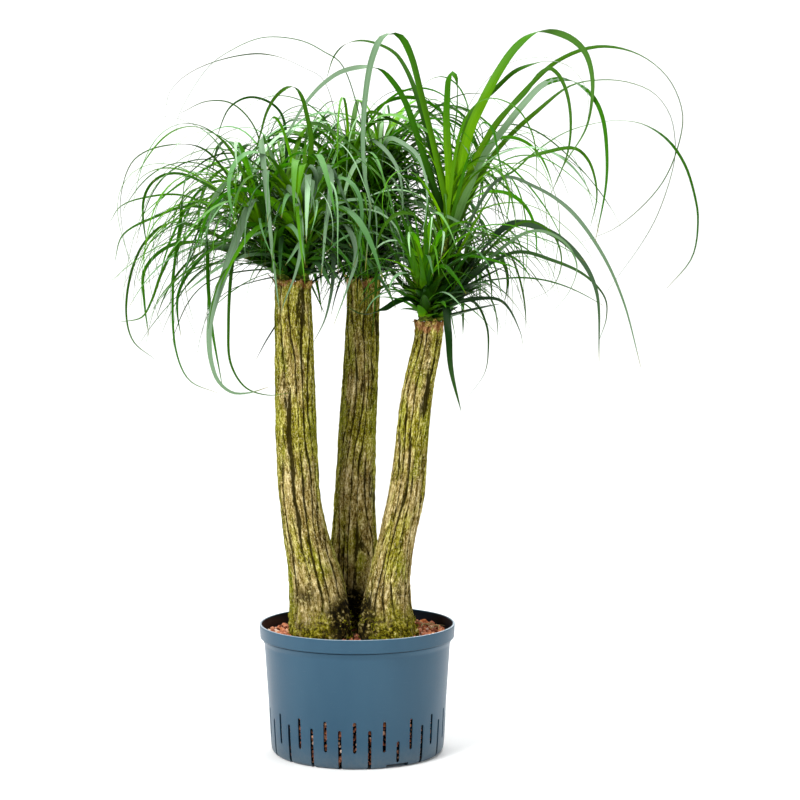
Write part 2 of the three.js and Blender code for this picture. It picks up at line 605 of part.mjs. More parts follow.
// The curve of a leaf of the crowd: it springs from the shoot, arches over and hangs
function crowdCurve(shootName, index, attempt) {
  const shoot = SHOOTS[shootName];
  const chance = (turn) => draw(Object.keys(SHOOTS).indexOf(shootName), index, turn);
  const rise = (index + 0.5) / shoot.leaves;
  const line = shootLine(shoot);
  const share = lerp(...CROWD_ROOTS, rise);
  const axis = line.getTangent(0);
  const nudge = Math.ceil((attempt % NUDGES) / 2) * (attempt % 2 === 0 ? 1 : -1) * NUDGE;
  const heading = degToRad(shoot.turn + index * GOLDEN_TURN + nudge);
  const outward = new THREE.Vector3(Math.cos(heading), Math.sin(heading), 0);
  outward.addScaledVector(axis, -outward.dot(axis)).normalize();
  const spring = degToRad(lerp(...CROWD_SPRING, rise ** SPRING_EASE) + SPRING_SPREAD * (chance(1) - 0.5));
  const start = outward.clone().multiplyScalar(Math.cos(spring)).addScaledVector(axis, Math.sin(spring));
  const turn = Math.atan2(start.y, start.x);
  const sway = degToRad(CROWD_SWAY * (chance(2) - 0.5));
  const firstPitch = Math.asin(clamp(start.z, -1, 1));
  const lastPitch = degToRad(lerp(...CROWD_HANG, chance(3)) * lerp(...LOW_LEAF_HANG, rise));
  const place = lerp(...ARCH_PLACE, chance(4));
  const half = lerp(...ARCH_HALF, chance(6));
  const length = lerp(...shoot.reach, lerp(rise, chance(5), LENGTH_CHANCE));
  const shortened = 1 - SHORTENING * Math.floor(attempt / NUDGES);
  const stride = (length * shortened * (1 - FRONT_SHORTENING * Math.max(-outward.y, 0))) / CROWD_STEPS;
  const points = [line.getPoint(share).addScaledVector(outward, CROWD_ROOT_DEPTH * shootRadius(share))];
  for (let step = 0; step < CROWD_STEPS; step += 1) {
    const along = (step + 0.5) / CROWD_STEPS;
    const bend = lerp(along, smoothstep(along, place - half, place + half), ARCH_SHARPNESS);
    const pitch = lerp(firstPitch, lastPitch, bend);
    const bearing = turn + sway * along ** SWAY_EASE;
    const way = new THREE.Vector3(Math.cos(bearing), Math.sin(bearing), 0);
    way.multiplyScalar(Math.cos(pitch)).setZ(Math.sin(pitch));
    points.push(points[step].clone().addScaledVector(way, stride));
  }
  return new THREE.CatmullRomCurve3(points, false, "centripetal");
}

function insideCrown(curve) {
  return curve.getPoints(CROWN_TESTS).every((point) => {
    const seen = seenFromFront(point);
    const aside = smoothstep(Math.abs(seen.x), CROWN_FLOOR_SPREAD[0], CROWN_FLOOR_SPREAD[1]);
    const floor = lerp(CROWN_FLOOR_MIDDLE, CROWN_FLOOR_SIDE, aside);
    const across = seen.x > CROWN.left && seen.x < CROWN.right;
    const deep = point.y > CROWN.front && point.y < CROWN.back;
    return across && deep && seen.height > floor && seen.height < CROWN.top;
  });
}

// A leaf: a strap with a keel below, along a curve, narrowed at its root and drawn out to a point.
// The side of a crowd leaf starts level across its heading. An outline leaf starts with its upper
// face to the front and is turned from there, by its first angle at the root and its second one at
// the tip.
// The free part is the leaf without the root that it shares with its neighbours.
function makeLeaf(curve, width, segments, facing) {
  const samples = segments * SAMPLES_PER_SEGMENT;
  const heading = curve.getPoint(1).sub(curve.getPoint(0)).setZ(0).normalize();
  const across = facing
    ? new THREE.Vector3().crossVectors(curve.getTangentAt(0), SIGHT)
    : new THREE.Vector3().crossVectors(UP, heading);
  const keel = Math.max(LEAF_KEEL, LEAF_KEEL_PER_WIDTH * width);
  const rings = [];
  for (let sample = 0; sample < samples; sample += 1) {
    const along = sample / samples;
    const tangent = curve.getTangentAt(along);
    across.addScaledVector(tangent, -across.dot(tangent)).normalize();
    if (sample % SAMPLES_PER_SEGMENT !== 0) {
      continue;
    }
    const side = facing ? turnedSide(across, tangent, along, facing) : across;
    const face = new THREE.Vector3().crossVectors(tangent, side);
    const half = (width / 2) * leafBreadth(along);
    const centre = curve.getPointAt(along);
    rings.push([
      centre.clone().addScaledVector(side, -half),
      centre.clone().addScaledVector(side, half),
      centre.clone().addScaledVector(face, -keel),
    ]);
  }
  const tip = curve.getPointAt(1);
  const rootRings = Math.ceil(segments * LEAF_ROOT_SHARE);
  const whole = solidOf(pointedLoft(rings, tip));
  const free = solidOf(pointedLoft(rings.slice(rootRings), tip));
  return { whole, free };
}

function turnedSide(across, tangent, along, [rootTurn, tipTurn, place]) {
  const turned = smoothstep(along, place - TURNOVER_HALF, place + TURNOVER_HALF);
  return across.clone().applyAxisAngle(tangent, degToRad(lerp(rootTurn, tipTurn, turned)));
}

function leafBreadth(along) {
  const root = lerp(LEAF_ROOT_BREADTH, 1, smoothstep(along, 0, LEAF_WIDENED_AT));
  return root * lerp(1, LEAF_TIP_BREADTH, smoothstep(along, LEAF_NARROWS_FROM, 1));
}

// A closed skin over three-cornered rings that ends in a point. Each bent quad folds outwards, so
// that the thin walls of a twisted leaf don't pass through each other.
function pointedLoft(rings, tip) {
  const points = rings.flat();
  const tipIndex = points.length;
  points.push(tip);
  const faces = [0, 1, 2];
  const last = tipIndex - 3;
  for (let i = 0; i < 3; i += 1) {
    const next = (i + 1) % 3;
    for (let low = 0; low < last; low += 3) {
      const quad = [low + i, low + next, low + 3 + next, low + 3 + i];
      faces.push(...foldedOut(quad, points));
    }
    faces.push(last + i, tipIndex, last + next);
  }
  return new THREE.BufferGeometry().setFromPoints(points).setIndex(faces);
}

function foldedOut([a, b, c, d], points) {
  const corner = points[a];
  const acrossQuad = points[c].clone().sub(corner);
  const outward = acrossQuad.cross(points[b].clone().sub(corner));
  const folded = points[d].clone().sub(corner).dot(outward) > 0;
  return folded ? [a, d, b, b, d, c] : [a, c, b, a, d, c];
}

// Clearances
function boxesMeet(a, b) {
  return [0, 1, 2].every((k) => a.min[k] - LEAF_GAP < b.max[k] && b.min[k] - LEAF_GAP < a.max[k]);
}

function clearOf(solid, others) {
  const box = solid.boundingBox();
  const near = others.filter((other) => boxesMeet(box, other.box));
  return near.every((other) => solid.minGap(other.solid, 2 * LEAF_GAP) > LEAF_GAP);
}

// Places every leaf clear of all that isn't its own shoot, with its free part clear of the other
// leaves of its shoot, and joins each shoot with its leaves
function leafyShoots(trunkSolids) {
  const placed = trunkSolids.map((solid) => ({ owner: "trunk", solid, box: solid.boundingBox() }));
  const free = [];
  const bodies = {};
  const add = (owner, solid) => {
    placed.push({ owner, solid, box: solid.boundingBox() });
    bodies[owner].push(solid);
  };
  for (const [name, shoot] of Object.entries(SHOOTS)) {
    bodies[name] = [];
    add(name, shootStem(shoot));
  }
  const place = (name, makers) => {
    const strangers = placed.filter((other) => other.owner !== name);
    const kin = free.filter((other) => other.owner === name);
    for (const make of makers) {
      const leaf = make();
      if (leaf && clearOf(leaf.whole, strangers) && clearOf(leaf.free, kin)) {
        add(name, leaf.whole);
        free.push({ owner: name, solid: leaf.free, box: leaf.free.boundingBox() });
        return;
      }
    }
  };
  for (const leaf of OUTLINE_LEAVES) {
    const [name, , width, , facing] = leaf;
    const bowed = (bow) => makeLeaf(outlineCurve(leaf, bow), width, OUTLINE_SEGMENTS, facing);
    place(name, OUTLINE_BOWS.map((bow) => () => bowed(bow)));
  }
  for (const [name, shoot] of Object.entries(SHOOTS)) {
    for (let index = 0; index < shoot.leaves; index += 1) {
      const width = lerp(CROWD_WIDTH[0], CROWD_WIDTH[1], draw(index, shoot.turn, 6));
      const makers = Array.from({ length: CROWD_ATTEMPTS }, (_, attempt) => () => {
        const curve = crowdCurve(name, index, attempt);
        const segments = curve.getLength() < SHORT_LEAF ? SHORT_LEAF_SEGMENTS : CROWD_SEGMENTS;
        return insideCrown(curve) ? makeLeaf(curve, width, segments, null) : null;
      });
      place(name, makers);
    }
  }
  return Object.fromEntries(
    Object.entries(bodies).map(([name, solids]) => {
      const joined = wasm.Manifold.union(solids).simplify(FINEST_EDGE);
      return [name, largestBody(joined)];
    }),
  );
}

function addMesh(group, name, solid, [colour, roughness]) {
  const material = new THREE.MeshStandardMaterial({ color: colour, roughness, metalness: 0 });
  const mesh = new THREE.Mesh(geometryOf(solid), material);
  mesh.name = name;
  group.add(mesh);
}

function plant() {
  const group = new THREE.Group();
  addMesh(group, "pot", pot(), COLOURS.pot);
  addMesh(group, "granules", granules(), COLOURS.granules);
  const trunks = [];
  for (const [name, trunk] of Object.entries(TRUNKS)) {
    const solid = trunkSolid(trunk, 0);
    addMesh(group, name, solid, COLOURS.bark);
    trunks.push(solid);
  }
  const shoots = leafyShoots(trunks);
  for (const [name, solid] of Object.entries(shoots)) {
    addMesh(group, `shoot_${name}`, solid, COLOURS.leaf);
  }
  return group;
}

export default plant();
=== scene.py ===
"""A ponytail palm in a slotted plastic pot, dressed over its CAD model.

The pot, the clay granules, the three trunks and the nine leafy shoots each get a fine mesh and a
procedural material. Lengths are in millimetres here and become metres when a mesh is made.
"""

import math

import bmesh
import bpy
import numpy as np
from mathutils import Euler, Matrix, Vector


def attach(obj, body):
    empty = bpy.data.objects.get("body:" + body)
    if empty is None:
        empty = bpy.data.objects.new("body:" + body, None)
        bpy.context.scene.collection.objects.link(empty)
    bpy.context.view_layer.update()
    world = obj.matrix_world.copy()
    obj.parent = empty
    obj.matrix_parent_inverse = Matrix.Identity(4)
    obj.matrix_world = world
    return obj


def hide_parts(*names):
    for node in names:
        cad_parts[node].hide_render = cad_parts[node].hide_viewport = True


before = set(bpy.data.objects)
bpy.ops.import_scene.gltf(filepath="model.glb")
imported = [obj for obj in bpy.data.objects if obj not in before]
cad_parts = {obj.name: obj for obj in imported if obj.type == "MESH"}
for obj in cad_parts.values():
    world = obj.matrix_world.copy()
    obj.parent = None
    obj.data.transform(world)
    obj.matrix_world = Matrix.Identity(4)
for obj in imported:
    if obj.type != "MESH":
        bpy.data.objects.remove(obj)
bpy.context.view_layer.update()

MM = 0.001

# Pot
POT_HEIGHT = 186
SHOULDER_HEIGHT = 157
SHOULDER_RADIUS = 134.5
SKIRT_HEIGHT = 66
SKIRT_RADIUS = 128.5
CORNER_HEIGHT = 8
CORNER_RADIUS = 125
POT_WALL = 2.2
BASE_THICKNESS = 3
INSIDE_RADIUS = 90

# Heights of the wall's rings, close together where slots end
WALL_RINGS = (
    8.7, 10, 16, 24, 24.6, 26, 31, 36, 37.3, 38, 46, 54, 55.3, 56, 61, 66, 67.3, 68, 76, 90,
    105, 120, 135, 148, 155, 157,
)

# The rounded corner under the wall, then the shoulder and rim band above it, each as an outer and
# an inner point with its radius and height
CORNER_PROFILE = [
    ((118, 0), (117, BASE_THICKNESS)), ((121.2, 0.9), (119.6, 3.3)), ((123.6, 3), (121.5, 4.8)),
    ((124.7, 5.8), (122.5, 6.8)),
    ((CORNER_RADIUS, CORNER_HEIGHT), (CORNER_RADIUS - POT_WALL, CORNER_HEIGHT + 0.3)),
]
RIM_PROFILE = [
    ((135.1, 159), (132.9, 159)), ((136.6, 162.4), (134.4, 162.2)), ((137.4, 164.4), (135.2, 165)),
    ((137.4, 165.2), (135.4, 166)), ((136.9, 166), (135.6, 166.8)), ((139.9, 166.3), (137.4, 168)),
    ((140.6, 166.9), (137.6, 168.6)), ((140.7, 168), (137.7, 169)), ((141, 174), (137.9, 174)),
    ((141.4, 181), (138.1, 181)), ((141.6, 184.4), (138.2, 184.4)), ((141.5, 185.3), (138.4, 185.3)),
    ((141, 185.85), (138.9, 185.85)), ((140.3, POT_HEIGHT), (139.6, POT_HEIGHT)),
]
# Painted shade in the crease under the rim band: its radii, the height it starts from and its strength
CREASE_RADII = (136, 137.45)
CREASE_HEIGHT = 165
CREASE_SHADE = 0.75
# How far down from the rim's top edge the painted highlight reaches
LIP_HIGHLIGHT_DEPTH = 0.4
# The inner wall is painted dark as shade from this far under the rim's top down
INNER_SHADE_TOP = 1.2
SHARP_EDGE = 38

# Slots round the foot, as low and high ends, and the drain notch under the short one
SECTORS = 38
FIRST_SLOT_TURN = -1.8
SLOT_WIDTH = 4.8
NARROWEST_HALF_SLOT = 0.3
SECTOR_COLUMNS = 7
SLOT_COLUMN = 3
BESIDE_SLOT = (1.7, 3)
HIGH_SLOT = (24, 68)
LOW_SLOT = (-1, 56)
SHORT_SLOT = (8, 38)
SHORT_SLOT_SECTOR = 3
LOW_SLOT_INNER_RADIUS = 106
BASE_RINGS = (2, 40, 80, LOW_SLOT_INNER_RADIUS, 112)
NOTCH_INNER_RADIUS = 117
NOTCH_HALF_TURN = 6.4
NOTCH_HEIGHT = 6

# Granules. Each layer lists its name, spacing, depth under the surface, range of radii and seed.
FILL_HEIGHT = 173
FILL_RADIUS = 133
HOLLOW_DEPTH = 5
HOLLOW_HALF_WIDTH = 30
HOLLOW_EDGE = -40
GRANULE_LAYERS = [
    ("granules_top", 7.2, 2.5, (2.6, 5.2), 21),
    ("granules_lower", 8.8, 9.5, (4.4, 6.2), 31),
]
GRID_ROW = 0.87
GRID_SHAKE = 0.7
LUMP_FINENESS = 1
LUMP_SQUASH = (0.75, 1.2)
LUMP_DENTS = 0.24
SLOT_GRANULE_SEED = 41
SLOT_GRANULE_RADII = (1.9, 3.9)
SLOT_GRANULE_ROWS = 13
SLOT_GRANULE_SPACING = 5.4
# A dark shell that paints the shade in the gaps between the granules: its seed, then its profile as radius
# and height
GAP_SHADE_SEED = 70
GAP_SHADE_PROFILE = [
    (1, 6), (60, 6), (110, 6), (113, 9), (116, 66), (122, 150), (127, 162), (118, 165), (80, 166),
    (40, 166), (1, 166),
]
TWIGS = 6
TWIG_SEED = 51
TWIG_LENGTH = (14, 34)
TWIG_RADIUS = (0.5, 1.0)
TWIG_X = (88, 118)
TWIG_Y = (-38, 40)

# Moss, in tufts of blades
MOSS_SEED = 61
MOSS_TUFTS = 760
MOSS_PATCH = 16
MOSS_PATCH_SEED = 77
MOSS_GAPS = -0.05
BLADE_SEED = 62
MOSS_BLADES = 9
MOSS_RISE = 34
MOSS_LENGTH = (1.6, 4.6)
MOSS_HALF_WIDTH = (0.35, 0.8)
BLADE_FACES = ((0, 1, 2), (0, 3, 1), (1, 3, 2), (2, 3, 0))

# The eye that the leaves are placed for, and how far the plant stands above its listed heights
EYE_DISTANCE = 2800
EYE_HEIGHT = 687
EYE_TARGET = (61.8, 0, 508.7)
LENS = 87.7
SENSOR = 36
PLANT_RISE = 3

# Trunks. Each one lists its seed, how far down its torn top reaches, how tall the broken stubs on
# its left stand, how much green painted bounce light its left and right sides get, how many lobes
# its foot has, and its stations from its buried end up: height, centre x, centre y, radius.
TRUNKS = {
    "trunk_left": {
        "seed": 3,
        "torn": 12,
        "stub": 22,
        "edge": 0.8,
        "lobes": 3,
        "stations": [
            (70, -51, -22, 30), (125, -51, -22, 43), (172, -51, -22, 45), (190, -51.5, -22.5, 44.5),
            (211, -53, -23, 42.5), (256, -59, -26, 38.5), (302, -70.5, -30, 32.5), (336, -77, -32, 30),
            (371, -82, -34, 28.6), (417, -85, -36, 28.6), (463, -87, -37, 28.6), (510, -87.5, -38, 27.6),
            (560, -88.5, -39, 26.6), (626, -90, -40, 25.4), (660, -90.5, -40, 24.4),
            (676.8, -89.9, -40, 25.4),
        ],
    },
    "trunk_middle": {
        "seed": 5,
        "torn": 14,
        "stub": 20,
        "edge": 1.0,
        "lobes": 4,
        "stations": [
            (80, -6, 58, 26), (130, -6, 58, 38), (172, -6, 58, 40), (205, -6, 58, 39),
            (250, -6, 58, 36.5), (296, -5, 57, 33), (330, -4, 57, 30.6), (366, -3.2, 57, 29),
            (412, -1, 56, 27.6), (459, 1, 56, 26.4), (515, 4, 56, 25.4), (570, 7, 55, 24.4),
            (625, 8.8, 55, 23.4), (662, 10, 55, 23.2), (679.4, 10.3, 55, 24.2),
        ],
    },
    "trunk_right": {
        "seed": 8,
        "torn": 26,
        "stub": 0,
        "edge": 0.4,
        "lobes": 3,
        "stations": [
            (75, 43, -20, 28), (125, 43, -20, 42), (172, 43, -20, 43.5), (190, 42.5, -20, 39.5),
            (211, 42, -21, 34.5), (256, 46.5, -23, 29), (302, 55.2, -26, 26), (336, 62, -29, 25.7),
            (371, 69.7, -32, 25.4), (425, 75.7, -35, 23.2), (463, 79, -37, 22.4), (510, 84.5, -40, 21.6),
            (550, 92, -43, 20.4), (585, 99, -45, 19.5), (606, 102.2, -45, 18.8), (620.2, 102.5, -45, 19.6),
        ],
    },
}
for TRUNK in TRUNKS.values():
    TRUNK["stations"] = np.array(TRUNK["stations"], dtype=float) + (PLANT_RISE, 0, 0, 0)
TRUNK_SIDES = 170
TRUNK_RINGS = 280
TRUNK_BURIED = 25
EASED_HEIGHT = 61
FURROWS = 15
FURROW_DEPTH = 3.2
FINE_FURROWS = 34
FINE_FURROW_DEPTH = 1.7
CUT_TOP_RINGS = (0.94, 0.86, 0.72, 0.5, 0.3, 0.12, 0.02)
TORN_RIM = 14
FLAKES_PER_MM = 0.5
STUB_SIDE = -0.78
STUB_LEAN = 0.5
FLAKE_WIDTH = (5, 13)
FLAKE_HEIGHT = (5, 14)
FLAKE_LEAN = (0.1, 0.9)
FLAKE_ROWS = 5
FLAKE_COLUMNS = 4

# A dark lumpy coat with painted shade, on the trunks' feet where they meet: centre x, half width
# and strength of two patches, and a stain
CRUST_AND_SHADE_SEED = 91
GAP_SHADE_PATCHES = ((3, 26, 1.0), (-28, 18, 0.6))
GAP_SHADE_HEIGHTS = (205, 262)
STAIN = dict(x=-72, height=234, half_width=24, half_height=20, strength=0.6)

# Leafy shoots: trunk, foot on its cut top, tip, heading of the first leaf, and how young and pale
# the leaves are, then how many straps and wires there are with their widths and lengths. Droop is
# the share of the usual hang that the leaves of a shoot have.
SHOOTS = {
    "left_a": dict(trunk="trunk_left", foot=(-12, -6), tip=(-144, -70, 766), turn=10, pale=0.45,
                   straps=(30, 5, 10, 170, 370), wires=(86, 2, 4.5, 180, 400)),
    "left_b": dict(trunk="trunk_left", foot=(12, -6), tip=(-74, -80, 771), turn=77, pale=0.85,
                   straps=(64, 8, 15, 110, 310), wires=(60, 2.5, 6, 130, 350)),
    "left_c": dict(trunk="trunk_left", foot=(0, 13), tip=(-101, 10, 811), turn=140, pale=0.4,
                   straps=(46, 5, 11, 160, 370), wires=(90, 2, 5, 180, 400)),
    "mid_a": dict(trunk="trunk_middle", foot=(-12, 0), tip=(-15, 45, 838), turn=200, pale=0.4,
                  straps=(116, 6, 12, 120, 370), wires=(160, 2.2, 5.5, 140, 380)),
    "mid_b": dict(trunk="trunk_middle", foot=(12, 4), tip=(36, 75, 848), turn=250, pale=0.25,
                  straps=(116, 6, 12, 120, 370), wires=(160, 2.2, 5.5, 140, 390)),
    "mid_c": dict(trunk="trunk_middle", foot=(0, -13), tip=(13, 15, 738), turn=300, pale=0.3,
                  straps=(34, 5, 10, 70, 180), wires=(30, 2.5, 5, 90, 200)),
    "right_a": dict(trunk="trunk_right", foot=(-6, -9), tip=(96, -80, 695), turn=330, pale=0.85,
                    straps=(56, 5, 11, 80, 190), wires=(64, 2.2, 5, 90, 230), droop=0.6),
    "right_b": dict(trunk="trunk_right", foot=(0, 9.5), tip=(136, -35, 792), turn=35, pale=1.0,
                    straps=(32, 6, 12, 110, 310), wires=(96, 1.8, 4, 150, 370)),
    "right_c": dict(trunk="trunk_right", foot=(11, -3), tip=(159, 0, 704), turn=95, pale=0.15,
                    straps=(32, 4, 8, 80, 230), wires=(64, 2.5, 5, 100, 290)),
}
SHOOT_FOOT_RADIUS = 8.6
SHOOT_TIP_RADIUS = 6

# The crown's outline, seen from the front, that no leaf of the crowd leaves
CROWN = dict(left=-352, right=440, top=985, back=285, front=-285)
CROWN_TOP_LEFT = 938
CROWN_TOP_SPREAD = (70, 140)
CROWN_FLOOR_X = (-350, -215, -185, -60, -40, 60, 110, 130, 250, 320)
CROWN_FLOOR = (545, 545, 640, 640, 612, 635, 635, 590, 590, 560)
SOFT_FLOOR_RISE = 50

# How a leaf of the crowd springs, arches over and hangs: angles in degrees, places as shares of
# its length
CROWD_SPRING = (14, 80)
SPRING_SPREAD = 26
CROWD_SWAY = 100
CROWD_HANG = (-46, -128)
ARCH_PLACE = (0.26, 0.66)
ARCH_HALF = (0.2, 0.5)
ARCH_SHARPNESS = 0.6
LOW_LEAF_HANG = (0.55, 1.0)
LENGTH_CHANCE = 0.55
CROWD_ATTEMPTS = 6
ATTEMPT_TURN = 7
ATTEMPT_SHORTENING = 0.1
CROWD_SHADE = (0.36, 1.4)
CROWD_FOLD = 0.3
CROWD_WAVE = 14
ROOT_TWIST = 40
TIP_TWIST = 150
TRUNKS_REACH = 690
TRUNK_MARGIN = 1.5
FRONT_FACING = 0.4
FRONT_THINNING = 0.5
FRONT_SHORTENING = 0.38
CROWD_STEPS = 24
STRAP_RINGS = 44
WIRE_RINGS = 30
GOLDEN_TURN = 137.508
LOW_SHARE = 0.3

# Every leaf, then the leaves of the outline, then the scale leaves at the foot of a shoot
LEAF_THICKNESS = 0.5
SHADE_REACH = 140
SIGHT = (0, 1, 0)
TURNOVER_HALF = 0.07
OUTLINE_WAVE = 14
OUTLINE_SEED = 7948
OUTLINE_SLIMNESS = 0.88
OUTLINE_FOLD = 0.25
OUTLINE_SHADE = (0.46, 0.84)
HAIR_WIDTH = 4.5
HAIR_SHADE = 0.5
OUTLINE_RINGS = 64
SCALES_PER_SHOOT = 30
SCALE_SEED = 300
SCALE_LENGTH = (20, 110)
SCALE_WIDTH = (8, 17)
SCALE_SPRING = (0.4, 1.35)
SCALE_STEPS = 10

